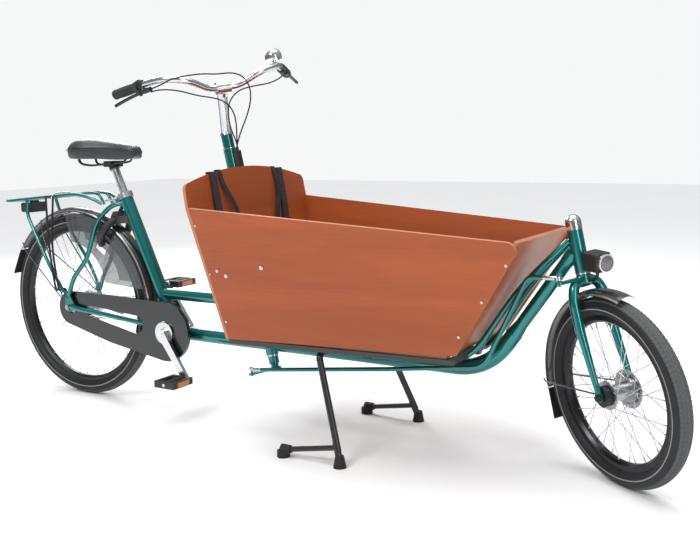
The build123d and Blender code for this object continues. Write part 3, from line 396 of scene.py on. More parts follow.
def m_wood(name, n, grain_axis, face, face_dark, edge, edge_dark):
    """film-faced plywood: brown film with faint grain, bare cut edges with their plies"""
    a = Mat(name)
    c = a.coord()
    geo = a.n("NewGeometry")
    facing = a.math("ABSOLUTE", a.dot(geo.outputs["True Normal"], tuple(n)))
    isedge = a.math("LESS_THAN", facing, 0.85)
    sc = [9.0, 9.0, 9.0]
    sc[grain_axis] = 0.9
    scf = [150.0, 150.0, 150.0]
    scf[grain_axis] = 5.0
    g1 = a.noise(a.mapping(c, sc), 1.0, 5.0, 0.62, 0.6)
    g2 = a.noise(a.mapping(c, scf), 1.0, 4.0, 0.7)
    g3 = a.noise(c, 3.0, 3.0, 0.5)
    base = a.mix(a.ramp(g1, [(0.3, (0, 0, 0)), (0.72, (1, 1, 1))]), face_dark, face)
    base = a.mix(a.math("MULTIPLY", a.ramp(g2, [(0.42, (0, 0, 0)), (0.75, (1, 1, 1))]), 0.28), base, tuple(x * 0.55 for x in face_dark))
    base = a.mix(a.math("MULTIPLY", g3, 0.30), base, tuple(min(1, x * 1.35) for x in face))
    fine = a.noise(c, 700.0, 2.0)
    base = a.mix(a.math("MULTIPLY", fine, 0.12), base, tuple(x * 0.7 for x in face))
    # plies on the cut edges
    h = a.dot(c, tuple(n))
    ply = a.n("Math", operation="SINE")
    a.link(a.math("MULTIPLY", h, 2 * pi / 0.0029), ply.inputs[0])
    ply = a.math("MULTIPLY_ADD", ply.outputs[0], 0.5)
    ply.node.inputs[2].default_value = 0.5
    en = a.noise(a.mapping(c, (60, 60, 60)), 1.0, 4.0, 0.6)
    ecol = a.mix(ply, edge_dark, edge)
    ecol = a.mix(a.math("MULTIPLY", en, 0.4), ecol, tuple(x * 0.72 for x in edge))
    a.col(a.mix(isedge, base, ecol))
    r = a.mixv(isedge, a.mixv(g3, 0.30, 0.46), 0.62)
    a.set(rough=r, spec=0.3, coat=0.08, coat_rough=0.25)
    a.normal(a.bump(a.math("ADD", a.math("MULTIPLY", g2, 0.5), a.math("MULTIPLY", fine, 0.35)), 0.12, 0.0006))
    return a.m


def m_rubber(name, col, rough=0.62, grain=1100.0, sheen=0.15):
    a = Mat(name)
    c = a.coord()
    big = a.noise(c, 14.0, 4.0, 0.6)
    fine = a.voronoi(c, grain)
    base = a.mix(a.math("MULTIPLY", big, 0.5), col, tuple(x * 2.0 + 0.008 for x in col))
    base = a.mix(a.math("MULTIPLY", a.noise(c, 260.0, 3.0), 0.3), base, tuple(x * 0.6 for x in col))
    a.col(base)
    a.set(rough=a.mixv(big, rough - 0.08, rough + 0.12), sheen=sheen * 0.4, spec=0.35)
    a.normal(a.bump(fine, 0.12, 0.0007))
    return a.m


def m_vinyl(name, col):
    """pebbled saddle cover, with painted shade in the pits of the grain"""
    a = Mat(name)
    c = a.coord()
    peb = a.voronoi(c, 620.0, "Distance", "SMOOTH_F1")
    big = a.noise(c, 16.0, 4.0, 0.6)
    base = a.mix(a.math("MULTIPLY", big, 0.6), col, tuple(x * 1.55 + 0.01 for x in col))
    # painted shade: the pits of the pebble grain are darkened
    base = a.mix(a.math("MULTIPLY", a.ramp(peb, [(0.0, (1, 1, 1)), (0.5, (0, 0, 0))]), 0.3), base, tuple(x * 0.55 for x in col))
    a.col(base)
    a.set(rough=a.mixv(big, 0.36, 0.50), sheen=0.05, coat=0.12, coat_rough=0.3, spec=0.45)
    b = a.bump(peb, 0.35, 0.0008)
    a.normal(a.bump(a.noise(c, 60.0, 3.0), 0.12, 0.002, b))
    return a.m


def m_web(name, col, wu=0.0022, wv=0.0016):
    """woven webbing: UV in metres, u across and v along; the dips of the weave are darkened with painted shade"""
    a = Mat(name)
    uv = a.coord("UV")
    x, y, _ = a.xyz(uv)
    su = a.n("Math", operation="SINE"); a.link(a.math("MULTIPLY", x, 2 * pi / wu), su.inputs[0])
    sv = a.n("Math", operation="SINE"); a.link(a.math("MULTIPLY", y, 2 * pi / wv), sv.inputs[0])
    w = a.math("MULTIPLY", su.outputs[0], sv.outputs[0])
    h = a.math("MULTIPLY_ADD", w, 0.5)
    h.node.inputs[2].default_value = 0.5
    c = a.coord()
    big = a.noise(c, 30.0, 4.0, 0.6)
    # painted shade: colour follows the weave height, darker in the dips and lighter on the raised threads
    base = a.mix(a.math("MULTIPLY", h, 0.7), tuple(v * 0.5 for v in col), tuple(v * 1.9 + 0.01 for v in col))
    base = a.mix(a.math("MULTIPLY", big, 0.3), base, tuple(v * 2.6 + 0.02 for v in col))
    a.col(base)
    a.set(rough=0.78, sheen=0.12, sheen_rough=0.4, spec=0.25)
    a.normal(a.bump(h, 0.6, 0.0006))
    return a.m


def m_glass(name, tint=(0.95, 0.97, 1.0), rough=0.03):
    a = Mat(name)
    c = a.coord()
    a.col(a.mix(a.noise(c, 30.0), tint, tuple(v * 0.9 for v in tint)))
    a.set(rough=rough, trans=0.9, ior=1.49)
    a.normal(a.bump(a.noise(c, 300.0, 1.0), 0.05, 0.0004))
    return a.m


def m_lens(name, col, cell=0.0035):
    """moulded reflector: small prisms under a clear face"""
    a = Mat(name)
    c = a.coord()
    v = a.voronoi(c, 1 / cell, "Distance", "F1")
    v2 = a.voronoi(c, 1 / cell, "Color", "F1")
    vx = a.xyz(v2)[0]
    a.col(a.mix(vx, tuple(x * 0.55 for x in col), tuple(min(1, x * 1.5 + 0.05) for x in col)))
    a.set(rough=a.mixv(vx, 0.12, 0.32), coat=1.0, coat_rough=0.04, metal=0.15)
    a.normal(a.bump(v, 0.5, 0.0012))
    return a.m


TEAL = m_paint("teal_paint", (0.0, 0.112, 0.109), (0.0, 0.230, 0.219), flake=0.07, metal=0.80, rough=0.30)
SILVER = m_metal("silver_alloy", (0.66, 0.67, 0.69), 0.2)
SATIN = m_metal("satin_alloy", (0.50, 0.51, 0.53), 0.34, grime=0.35)
CHROME = m_metal("chrome", (0.80, 0.81, 0.83), 0.08, (300, 300, 300), grime=0.1)
STEEL = m_metal("spoke_steel", (0.62, 0.63, 0.65), 0.25, (300, 300, 300))
DARKSTEEL = m_metal("oiled_steel", (0.20, 0.19, 0.18), 0.38, (200, 200, 200), grime=0.5)
BLACK = m_coat("black_coat", (0.010, 0.010, 0.011), 0.36, 900.0, coat=0.3)
BLACKPL = m_coat("black_plastic", (0.013, 0.013, 0.014), 0.48, 1300.0, coat=0.05, bump=0.2)
GLOSSBLK = m_coat("gloss_black", (0.006, 0.007, 0.008), 0.16, 500.0, coat=0.35, var=0.03, bump=0.03)
GREYRAIL = m_coat("grey_rail", (0.030, 0.031, 0.033), 0.5, 700.0)
RIMBLK = m_metal("black_rim", (0.045, 0.046, 0.05), 0.3, (200, 200, 200), grime=0.3)
RUBBER = m_rubber("black_rubber", (0.011, 0.011, 0.012))
CABLE = m_rubber("cable_cover_pvc", (0.012, 0.012, 0.013), 0.42, 2400.0, 0.0)
VINYL = m_vinyl("saddle_cover", (0.020, 0.028, 0.030))
WEB = m_web("webbing", (0.012, 0.012, 0.014))
AMBER = m_lens("amber_reflector", (0.75, 0.20, 0.02))
RED = m_lens("red_lens", (0.42, 0.008, 0.010))
CLEARL = m_lens("clear_reflector", (0.62, 0.64, 0.66), 0.004)
GLASS = m_glass("lamp_glass")


def m_fender(name, c0, axis, half, edge=(0.55, 0.53, 0.52)):
    """fender: dark gloss with a bright rolled edge on both sides"""
    a = Mat(name)
    c = a.coord()
    y = a.math("ABSOLUTE", a.math("SUBTRACT", a.dot(c, tuple(axis)), Vector(c0).dot(axis)))
    isedge = a.math("MULTIPLY", a.math("GREATER_THAN", y, half), a.math("LESS_THAN", y, half + 0.0035))
    big = a.noise(c, 10.0, 4.0, 0.6)
    dark = a.mix(big, (0.022, 0.023, 0.025), (0.050, 0.052, 0.055))
    a.col(a.mix(isedge, dark, edge))
    a.set(rough=a.mixv(big, 0.16, 0.30), metal=a.mixv(isedge, 0.35, 0.9), coat=0.7, coat_rough=0.08)
    a.normal(a.bump(a.noise(c, 500.0, 2.0), 0.05, 0.0004))
    return a.m


FENDER_R = m_fender("fender_rear", R_AXLE, Y_, 0.0262)
FENDER_F = m_fender("fender_front", F_AXLE, F_SPIN, 0.0262, (0.62, 0.60, 0.58))


def m_clear(name):
    """smoked clear guard"""
    a = Mat(name)
    c = a.coord()
    big = a.noise(c, 12.0, 3.0)
    a.col(a.mix(big, (0.060, 0.066, 0.070), (0.120, 0.128, 0.134)))
    a.set(rough=a.mixv(big, 0.14, 0.26), alpha=0.50, coat=0.5, coat_rough=0.1)
    a.normal(a.bump(a.noise(c, 120.0, 2.0), 0.05, 0.001))
    return a.m


SMOKE = m_clear("smoked_clear")


def m_masked(name, boxes, lens, body=(0.013, 0.013, 0.014)):
    """black plastic with moulded lens areas, each a box in the object's own space"""
    a = Mat(name)
    c = a.coord()
    X, Y, Z = a.xyz(c)
    m = None
    for (cx, hx), (cy, hy), (cz, hz) in boxes:
        q = None
        for v, k, h in ((X, cx, hx), (Y, cy, hy), (Z, cz, hz)):
            t = a.math("LESS_THAN", a.math("ABSOLUTE", a.math("SUBTRACT", v, k)), h)
            q = t if q is None else a.math("MULTIPLY", q, t)
        m = q if m is None else a.math("MAXIMUM", m, q)
    big = a.noise(c, 12.0, 3.0)
    fine = a.noise(c, 1300.0, 2.0)
    cell = a.voronoi(c, 420.0, "Distance", "F1")
    shade = a.mix(a.math("MULTIPLY", cell, 2.0, True), tuple(min(1, x * 1.25) for x in lens), tuple(x * 0.6 for x in lens))
    dark = a.mix(a.math("MULTIPLY", big, 0.4), body, tuple(x * 2.2 + 0.008 for x in body))
    a.col(a.mix(m, dark, shade))
    a.set(rough=a.mixv(m, a.mixv(big, 0.42, 0.56), 0.18), coat=a.mixv(m, 0.05, 0.9), coat_rough=0.06)
    a.normal(a.bump(a.mixv(m, fine, cell), 0.15, 0.0008))
    return a.m


def two_reflectors(cx, cy, cz):
    return [((cx + s * 0.0428, 0.0022), (cy, 0.0275), (cz, 0.0085)) for s in (-1, 1)]


def m_brake_front(name):
    a = Mat(name)
    c = a.coord()
    far = a.math("GREATER_THAN", a.math("SUBTRACT", a.dot(c, tuple(F_SPIN)), Vector(F_AXLE).dot(F_SPIN)), 0.0)
    big = a.noise(c, 14.0, 4.0, 0.6)
    a.col(a.mix(far, a.mix(big, (0.010, 0.010, 0.011), (0.024, 0.024, 0.026)), a.mix(big, (0.36, 0.37, 0.39), (0.60, 0.61, 0.63))))
    a.set(metal=a.mixv(far, 0.1, 0.9), rough=a.mixv(far, a.mixv(big, 0.36, 0.5), a.mixv(big, 0.22, 0.38)))
    a.normal(a.bump(a.noise(c, 700.0, 2.0), 0.06, 0.0006))
    return a.m


BRAKE_F = m_brake_front("front_brake_finish")
PEDAL_R = m_masked("pedal_right_amber", two_reflectors(0.53706, -0.135, 0.13406), (0.80, 0.22, 0.02))
PEDAL_L = m_masked("pedal_left_amber", two_reflectors(0.34694, 0.123, 0.41594), (0.80, 0.22, 0.02))
REARLAMP = m_masked("rear_lamp_red", [((-0.30, 0.0515), (0.0, 0.2), (0.6, 0.4))], (0.40, 0.008, 0.010))


def use(node, mat):
    o = N[node]
    o.data.materials.clear()
    o.data.materials.append(mat)
    me = o.data
    for p in me.polygons:
        p.use_smooth = True
    try:
        me.set_sharp_from_angle(angle=rad(32))
    except Exception:
        pass
    return o


def main_normal(node):
    me = N[node].data
    best, acc = None, {}
    for p in me.polygons:
        k = tuple(round(abs(x), 2) for x in p.normal)
        acc[k] = acc.get(k, 0) + p.area
    k = max(acc, key=acc.get)
    for p in me.polygons:
        if tuple(round(abs(x), 2) for x in p.normal) == k:
            return p.normal.normalized()


FACE, FACE_D = (0.400, 0.092, 0.026), (0.262, 0.054, 0.014)
EDGE, EDGE_D = (0.56, 0.27, 0.155), (0.36, 0.14, 0.07)
for node, g in (("box_side_right", 0), ("box_side_left", 0), ("box_front_panel", 1), ("box_back_panel", 1), ("box_floor", 0)):
    n_ = main_normal(node)
    use(node, m_wood("ply_" + node, n_, g, FACE, FACE_D, EDGE, EDGE_D))

for node, mat in (
    ("frame_main", TEAL), ("rear_stays", TEAL), ("rear_carrier", TEAL), ("fork", TEAL), ("steering_shaft", TEAL), ("tie_rod", TEAL),
    ("cargo_rail", GREYRAIL), ("box_bolts", SATIN), ("bearing_cups", SILVER), ("seat_clamp", SATIN), ("seat_clamp_lever", SILVER),
    ("rear_fender", FENDER_R), ("front_fender", FENDER_F), ("rear_mudflap", RUBBER), ("front_mudflap", RUBBER), ("coat_guards", SMOKE),
    ("ring_lock", BLACKPL), ("lock_bow", CHROME), ("rear_lamp", REARLAMP), ("carrier_straps", RUBBER), ("chaincase", GLOSSBLK), ("chain", DARKSTEEL),
    ("rear_axle_brake", SATIN), ("cable_cover", BLACKPL), ("rear_tyre", RUBBER), ("rear_rim", RIMBLK), ("rear_spokes", STEEL), ("rear_hub", SATIN),
    ("crank_right", SILVER), ("crank_left", SILVER), ("pedal_right", PEDAL_R), ("pedal_left", PEDAL_L), ("seatpost", SILVER), ("saddle", VINYL),
    ("saddle_frame", BLACK), ("stem", SILVER), ("handlebar", SILVER), ("grips", RUBBER), ("lever_mounts", BLACKPL), ("bell", CHROME), ("bar_cables", CABLE),
    ("brake_lever_left", BLACKPL), ("brake_lever_right", BLACKPL), ("twist_shifter", BLACKPL), ("rod_ends", SILVER), ("head_dome", CHROME),
    ("front_axle_brake", BRAKE_F), ("front_lamp", BLACKPL), ("front_tyre", RUBBER), ("front_rim", RIMBLK), ("front_spokes", STEEL), ("front_hub", SATIN),
    ("stand", BLACK), ("stand_feet", RUBBER), ("belts", WEB)):
    use(node, mat)


# ------------------------------------------------------------------ mesh helpers
def obj(name, verts, faces, mat, uv=None, smooth=True, sharp=None):
    me = bpy.data.meshes.new(name)
    me.from_pydata([tuple(v) for v in verts], [], faces)
    me.validate()
    if uv:
        l = me.uv_layers.new(name="UVMap")
        for p in me.polygons:
            for k, li in zip(p.vertices, p.loop_indices):
                l.data[li].uv = uv[k]
    for p in me.polygons:
        p.use_smooth = smooth
    if sharp:
        me.set_sharp_from_angle(angle=rad(sharp))
    me.materials.append(mat)
    o = bpy.data.objects.new(name, me)
    COLL.objects.link(o)
    return o


def basis(d):
    d = Vector(d).normalized()
    a = Vector((0, 0, 1)) if abs(d.z) < 0.9 else Vector((1, 0, 0))
    x = a.cross(d).normalized()
    return x, d.cross(x).normalized(), d


def revolve(name, prof, centre, axis, mat, seg=96, closed=False, x_dir=None, caps=False, sharp=None):
    """prof: (along axis, radius) points; the faces wind outward for a profile that runs along +axis"""
    if x_dir is None:
        x, y, d = basis(axis)
    else:
        d = Vector(axis).normalized(); x = Vector(x_dir).normalized(); y = d.cross(x)
    c = Vector(centre)
    n = len(prof)
    vs, fs = [], []
    for i in range(seg):
        t = 2 * pi * i / seg
        e = x * cos(t) + y * sin(t)
        for a, r in prof:
            vs.append(c + d * a + e * r)
    for i in range(seg):
        j = (i + 1) % seg
        for k in range(n if closed else n - 1):
            k2 = (k + 1) % n
            fs.append((i * n + k, j * n + k, j * n + k2, i * n + k2))
    if caps and not closed:
        fs.append(tuple(i * n for i in range(seg))[::-1])
        fs.append(tuple(i * n + n - 1 for i in range(seg)))
    o = obj(name, vs, fs, mat, sharp=sharp)
    fix(o)
    return o


def fix(o):
    bm = bmesh.new(); bm.from_mesh(o.data)
    bmesh.ops.recalc_face_normals(bm, faces=bm.faces)
    bm.to_mesh(o.data); bm.free()


def smooth_path(pts, steps=8):
    """Catmull-Rom through the points"""
    P = [Vector(p) for p in pts]
    P = [P[0] * 2 - P[1]] + P + [P[-1] * 2 - P[-2]]
    out = []
    for i in range(1, len(P) - 2):
        a, b, c, d = P[i - 1:i + 3]
        for k in range(steps):
            t = k / steps
            out.append(0.5 * ((2 * b) + (c - a) * t + (2 * a - 5 * b + 4 * c - d) * t * t + (3 * b - a - 3 * c + d) * t ** 3))
    out.append(P[-2])
    return out


def sweep(name, path, r, mat, seg=12, caps=True, flat=None, up=None, sharp=None):
    """tube or flat bar along a path; r may be a function of the share of length"""
    P = [Vector(p) for p in path]
    n = len(P)
    tan = [(P[min(i + 1, n - 1)] - P[max(i - 1, 0)]).normalized() for i in range(n)]
    if up is not None:
        x = Vector(up)
    else:
        x, _, _ = basis(tan[0])
    vs, fs, uv = [], [], []
    L = [0.0]
    for i in range(1, n):
        L.append(L[-1] + (P[i] - P[i - 1]).length)
    for i in range(n):
        x = (x - tan[i] * x.dot(tan[i])).normalized()
        y = tan[i].cross(x)
        rr = r(L[i] / L[-1]) if callable(r) else r
        for k in range(seg):
            t = 2 * pi * k / seg
            if flat:
                # superellipse for a flat band, width along x, thickness along y
                w, h = flat
                ct, stn = cos(t), sin(t)
                vs.append(P[i] + x * (w * math.copysign(abs(ct) ** 0.35, ct)) + y * (h * math.copysign(abs(stn) ** 0.35, stn)))
            else:
                vs.append(P[i] + (x * cos(t) + y * sin(t)) * rr)
            uv.append((k / seg, L[i]))
    for i in range(n - 1):
        for k in range(seg):
            k2 = (k + 1) % seg
            fs.append((i * seg + k, i * seg + k2, (i + 1) * seg + k2, (i + 1) * seg + k))
    if caps:
        fs.append(tuple(range(seg))[::-1])
        fs.append(tuple((n - 1) * seg + k for k in range(seg)))
    o = obj(name, vs, fs, mat, uv, sharp=sharp)
    fix(o)
    return o


def join(name, objs):
    bpy.ops.object.select_all(action="DESELECT")
    for o in objs:
        o.select_set(True)
    bpy.context.view_layer.objects.active = objs[0]
    bpy.ops.object.join()
    o = objs[0]
    o.name = name
    return o


# ------------------------------------------------------------------ cords: the three covered cables on the bar
MM = 0.001
a_ = Vector((569.5095103261, -212.01385703, 1071.88359446))
d_ = Vector((0.9726246167693, -0.1102172317107, 0.2045813204778))
axup = ROT @ UP
e_ = Vector((817.6522725945, 150.9750200488, 1126.895520429))
d3 = Vector((0.4353080772044, -0.8962160879725, 0.0854611115065))
a2 = a_ - axup * 9
c1 = [a_, a_ + d_ * 45, (652, -208, 1100), (692, -158, 1112), (712, -124, 1115), (729.6, -92, 1114), (767.4, -62, 1119.6), (797, -45, 1106), (810, -33, 1076), (805.8, -24, 1041),
      (792, -17, 1010), (774, -13, 976), (754, -10, 945), (739, -8, 914), (729, -8, 883.3)]
c2 = [a2, a2 + d_ * 34, (650, -176, 1066), (682, -128, 1050), (712, -84, 1044), (733, -52, 1030), (743, -30, 1000), (740, -16, 962), (732, -6, 928), (727, 0, 882.5)]
c3 = [e_, e_ + d3 * 30, (838, 98, 1108), (818, 58, 1088), (782, 14, 1080), (748, -18, 1066), (721, -28, 1030), (713, -22, 988), (711, -7, 946), (719, 5, 914), (725.5, 8.6, 882.6)]
CORDS = []
for nm, pts, L_ in (("cable_brake_front", c1, 0.5582), ("cable_gear", c2, 0.4060), ("cable_brake_rear", c3, 0.4146)):
    cu = bpy.data.curves.new(nm, "CURVE")
    cu.dimensions = "3D"
    sp = cu.splines.new("NURBS")
    sp.points.add(len(pts) - 1)
    for p, q in zip(sp.points, pts):
        q = Vector(q) * MM
        p.co = (q.x, q.y, q.z, 1)
    sp.order_u = 3
    sp.use_endpoint_u = True
    sp.resolution_u = 10
    cu.bevel_depth = 0.0022
    cu.bevel_resolution = 4
    cu.use_fill_caps = True
    cu.materials.append(CABLE)
    o = bpy.data.objects.new(nm, cu)
    COLL.objects.link(o)
    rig.ride(o, "column")
    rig.replaces(o, "bar_cables")
    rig.slot(o, "rubber")
    CORDS.append(o)
    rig.cord(o, exit=tuple(Vector(pts[0]) * MM), length=L_, diameter=0.0044, far_end="object", stiffness="stiff", lay="hanging")


# ------------------------------------------------------------------ tyres
def tyre(name, R, half, centre, axis, mat, body, node, pitch=0.0125, seg=None, stripe=True):
    x, y, d = basis(axis)
    c = Vector(centre)
    Rc = R - half
    circ = 2 * pi * R
    blocks = int(round(circ / pitch))
    seg = blocks * 6
    # section angles from one bead round the crown to the other
    A = [-148, -136, -122, -110, -98, -88, -80, -72, -64, -58, -53, -49.5, -46, -42, -38, -34, -30, -26, -22, -18, -14, -10, -6, -2]
    A = A + [-a for a in A[::-1]]
    n = len(A)
    vs, fs, uv = [], [], []
    for i in range(seg):
        t = 2 * pi * i / seg
        e = x * cos(t) + y * sin(t)
        ph = (i % 6) / 6.0
        bl = i // 6
        for k, ad in enumerate(A):
            a = rad(ad)
            r = half * 0.985
            if abs(ad) < 56:
                s = abs(ad)
                groove = 0.0
                # centre rib, two zig-zag grooves, side blocks
                sh = (ph + s / 60.0) % 1.0
                if s < 7:
                    groove = 0.0011 if (0.30 < ph < 0.60) else 0.0
                elif s < 15:
                    groove = 0.0018 if (sh < 0.5) == (s < 11) else 0.0
                elif s < 27:
                    groove = 0.0020 if sh < 0.34 else 0.0
                elif s < 31:
                    groove = 0.0021
                elif s < 49:
                    groove = 0.0020 if ((ph * 1.0 + s / 90.0) % 1.0) < 0.34 else 0.0
                else:
                    groove = 0.0008
                r = half * 1.0 - groove
            # flatter crown
            rr = Rc + r * cos(a)
            z = r * sin(a)
            if abs(ad) > 100:
                rr = Rc + half * cos(a) * 0.9
                z = half * sin(a) * (0.95 if abs(ad) < 125 else 0.86)
            vs.append(c + e * rr + d * z)
            uv.append((i / seg * circ, (ad + 150) / 300))
    for i in range(seg):
        j = (i + 1) % seg
        for k in range(n - 1):
            fs.append((i * n + k, i * n + k + 1, j * n + k + 1, j * n + k))
        fs.append((i * n + n - 1, i * n, j * n, j * n + n - 1))
    o = obj(name, vs, fs, mat, uv, sharp=50)
    fix(o)
    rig.ride(o, body)
    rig.replaces(o, node)
    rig.slot(o, "tyre")
    return o


def m_tyre(name):
    a = Mat(name)
    uv = a.coord("UV")
    u, v, _ = a.xyz(uv)
    c = a.coord()
    s = a.math("ABSOLUTE", a.math("SUBTRACT", v, 0.5))            # 0 at the crown, 0.49 at the bead
    tread = a.math("LESS_THAN", s, 0.165)
    stripe = a.math("MULTIPLY", a.math("GREATER_THAN", s, 0.300), a.math("LESS_THAN", s, 0.322))
    big = a.noise(c, 16.0, 4.0, 0.6)
    fine = a.noise(c, 500.0, 3.0)
    side = a.mix(big, (0.010, 0.010, 0.011), (0.022, 0.022, 0.024))
    tr = a.mix(fine, (0.058, 0.061, 0.062), (0.118, 0.122, 0.125))
    base = a.mix(tread, side, tr)
    base = a.mix(a.math("MULTIPLY", stripe, 0.85), base, (0.30, 0.31, 0.32))
    a.col(base)
    # fine moulded rings on the wall
    ring = a.n("Math", operation="SINE"); a.link(a.math("MULTIPLY", v, 2 * pi * 70), ring.inputs[0])
    hh = a.math("MULTIPLY", ring.outputs[0], a.math("SUBTRACT", 1.0, tread))
    a.set(rough=a.mixv(tread, a.mixv(big, 0.42, 0.58), 0.75), spec=0.3)
    a.normal(a.bump(a.math("ADD", a.math("MULTIPLY", hh, 0.25), a.math("MULTIPLY", fine, 0.4)), 0.25, 0.0006))
    return a.m


TYRE = m_tyre("tyre_rubber")
tyre("tyre_front", 0.255, 0.0275, F_AXLE, F_SPIN, TYRE, "front_wheel", "front_tyre")
tyre("tyre_rear", 0.330, 0.0275, R_AXLE, Y_, TYRE, "rear_wheel", "rear_tyre")


# ------------------------------------------------------------------ saddle
def saddle():
    # stations along X: x, half width, top height, skirt bottom, crown
    st = [(0.030, 0.034, 0.890, 0.868, 0.004), (0.035, 0.066, 0.906, 0.860, 0.008), (0.050, 0.084, 0.918, 0.857, 0.012), (0.070, 0.093, 0.926, 0.856, 0.016),
          (0.095, 0.096, 0.929, 0.855, 0.018), (0.120, 0.091, 0.928, 0.855, 0.018), (0.145, 0.079, 0.925, 0.855, 0.016), (0.170, 0.062, 0.920, 0.855, 0.013),
          (0.200, 0.050, 0.916, 0.852, 0.011), (0.230, 0.041, 0.911, 0.851, 0.009), (0.260, 0.036, 0.907, 0.851, 0.008), (0.282, 0.032, 0.903, 0.852, 0.007),
          (0.296, 0.027, 0.897, 0.856, 0.006), (0.303, 0.018, 0.889, 0.862, 0.004)]
    sec = []
    n = 14
    for i in range(n + 1):          # over the top from one edge to the other
        s = -1 + 2 * i / n
        sec.append(("t", s))
    sec += [("s", 1, 0.5), ("s", 1, 1.0), ("b", 0.8), ("b", 0.3), ("b", -0.3), ("b", -0.8), ("s", -1, 1.0), ("s", -1, 0.5)]
    vs, fs = [], []
    for (x, w, zt, zb, cr) in st:
        for q in sec:
            if q[0] == "t":
                s = q[1]
                dip = 0.0035 * math.exp(-(s / 0.18) ** 2) * min(1, max(0, (x - 0.05) / 0.06)) * (w / 0.096 * 0.5 + 0.5)
                z = zt - cr * abs(s) ** 2.4 - 0.012 * max(0, abs(s) - 0.82) / 0.18 * (w / 0.096 * 0.5 + 0.5) - dip
                y = s * w * (1 - 0.02 * (abs(s) > 0.9))
                vs.append((x, y, z))
            elif q[0] == "s":
                ze = zt - cr - 0.012 * (w / 0.096 * 0.5 + 0.5)
                z = ze + (zb - ze) * q[2]
                y = q[1] * w * (0.985 if q[2] < 0.9 else 0.93)
                vs.append((x, y, z))
            else:
                vs.append((x, q[1] * w * 0.9, zb + 0.004))
    n2 = len(sec)
    for i in range(len(st) - 1):
        for k in range(n2):
            k2 = (k + 1) % n2
            fs.append((i * n2 + k, i * n2 + k2, (i + 1) * n2 + k2, (i + 1) * n2 + k))
    fs.append(tuple(range(n2))[::-1])
    fs.append(tuple((len(st) - 1) * n2 + k for k in range(n2)))
    o = obj("saddle_pad", vs, fs, VINYL)
    fix(o)
    md = o.modifiers.new("s", "SUBSURF"); md.levels = 2; md.render_levels = 2
    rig.ride(o, "seat"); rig.replaces(o, "saddle"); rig.slot(o, "cover")
    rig.padded(o, fill=0.85)
    # sewn welt round the lower edge of the top
    left = []
    for (x, w, zt, zb, cr) in st[1:]:
        ze = zt - cr - 0.016 * (w / 0.096 * 0.5 + 0.5)
        left.append((x, w * 0.975, ze))
    path = [(p[0], -p[1], p[2]) for p in left[::-1]] + [(0.0325, 0, 0.882)] + left
    wl = sweep("saddle_welt", smooth_path(path, 5), 0.0014, m_rubber("welt", (0.012, 0.014, 0.015), 0.5, 1800), seg=8)
    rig.ride(wl, "seat"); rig.slot(wl, "cover")


saddle()


# ------------------------------------------------------------------ belts: two wide straps with a buckle, two narrow ones
from mathutils.bvhtree import BVHTree
SLOPE = 70.1 / 393.7
INW = Vector((1, 0, SLOPE)).normalized()


def back_pt(y, z, off):
    h = z - 327.7
    return (Vector((849.9 - SLOPE * h, y, z)) + INW * off) * MM


def bvh(node):
    me = N[node].data
    return BVHTree.FromPolygons([v.co.copy() for v in me.vertices], [tuple(p.vertices) for p in me.polygons])


back_tree = bvh("box_back_panel")


def ztop(y):
    best = 0.0
    for x in (752, 755, 757, 759, 761, 764, 768):
        h = back_tree.ray_cast(Vector((x * MM, y * MM, 1.2)), Vector((0, 0, -1)))
        if h[0]:
            best = max(best, h[0].z)
    return best / MM


def over_edge(y, extra=0.0):
    """points that lead a strap from behind the panel over its top edge"""
    zt = ztop(y)
    return zt, [back_pt(y, zt - 26, -12.2 - extra), back_pt(y, zt - 8, -12.4 - extra), back_pt(y, zt + 2.2, -10.5), back_pt(y, zt + 3.0, -5.0), back_pt(y, zt + 1.6, 0.8), back_pt(y, zt - 6, 2.6)]


def ribbon(name, pts, width, thick, body="frame", up=(0, 1, 0), steps=8, mat=None):
    P = smooth_path(pts, steps)
    o = sweep(name, P, 1.0, mat or WEB, seg=16, flat=(width * MM / 2, thick * MM / 2), up=up)
    # the sweep gives the UV: u round the band's outline, v in metres along it
    me = o.data
    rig.ride(o, body)
    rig.slot(o, "fabric")
    return o


belt_objs = []
yy = -176
zt, pts = over_edge(-172)
pts += [back_pt(-173, zt - 60, 3.4), back_pt(-175, 700, 6.0), back_pt(-174, 655, 5.6), back_pt(-172, 600, 5.2), back_pt(-170, 545, 3.4), back_pt(-168, 502, 2.4)]
b = ribbon("belt_right", pts, 36, 1.6); belt_objs.append(b)
zt, pts = over_edge(-140)
pts += [back_pt(-136, zt - 40, 6.0), back_pt(-116, 735, 13.0), back_pt(-100, 690, 15.0), back_pt(-98, 640, 13.0), back_pt(-98, 585, 9.0), back_pt(-99, 540, 5.0), back_pt(-100, 502, 2.4)]
b = ribbon("belt_narrow_right", pts, 18, 1.3); belt_objs.append(b)
zt, pts = over_edge(172)
pts += [back_pt(171, zt - 60, 3.4), back_pt(166, 700, 6.5), back_pt(160, 655, 6.0), back_pt(160, 600, 5.2), back_pt(164, 545, 3.4), back_pt(168, 502, 2.4)]
b = ribbon("belt_left", pts, 36, 1.6); belt_objs.append(b)
zt, pts = over_edge(140)
pts += [back_pt(142, zt - 40, 8.0), back_pt(134, 735, 11.0), back_pt(118, 690, 12.0), back_pt(104, 640, 10.0), back_pt(100, 585, 7.0), back_pt(100, 540, 4.5), back_pt(100, 502, 2.4)]
b = ribbon("belt_narrow_left", pts, 18, 1.3); belt_objs.append(b)
for b in belt_objs:
    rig.replaces(b, "belts")


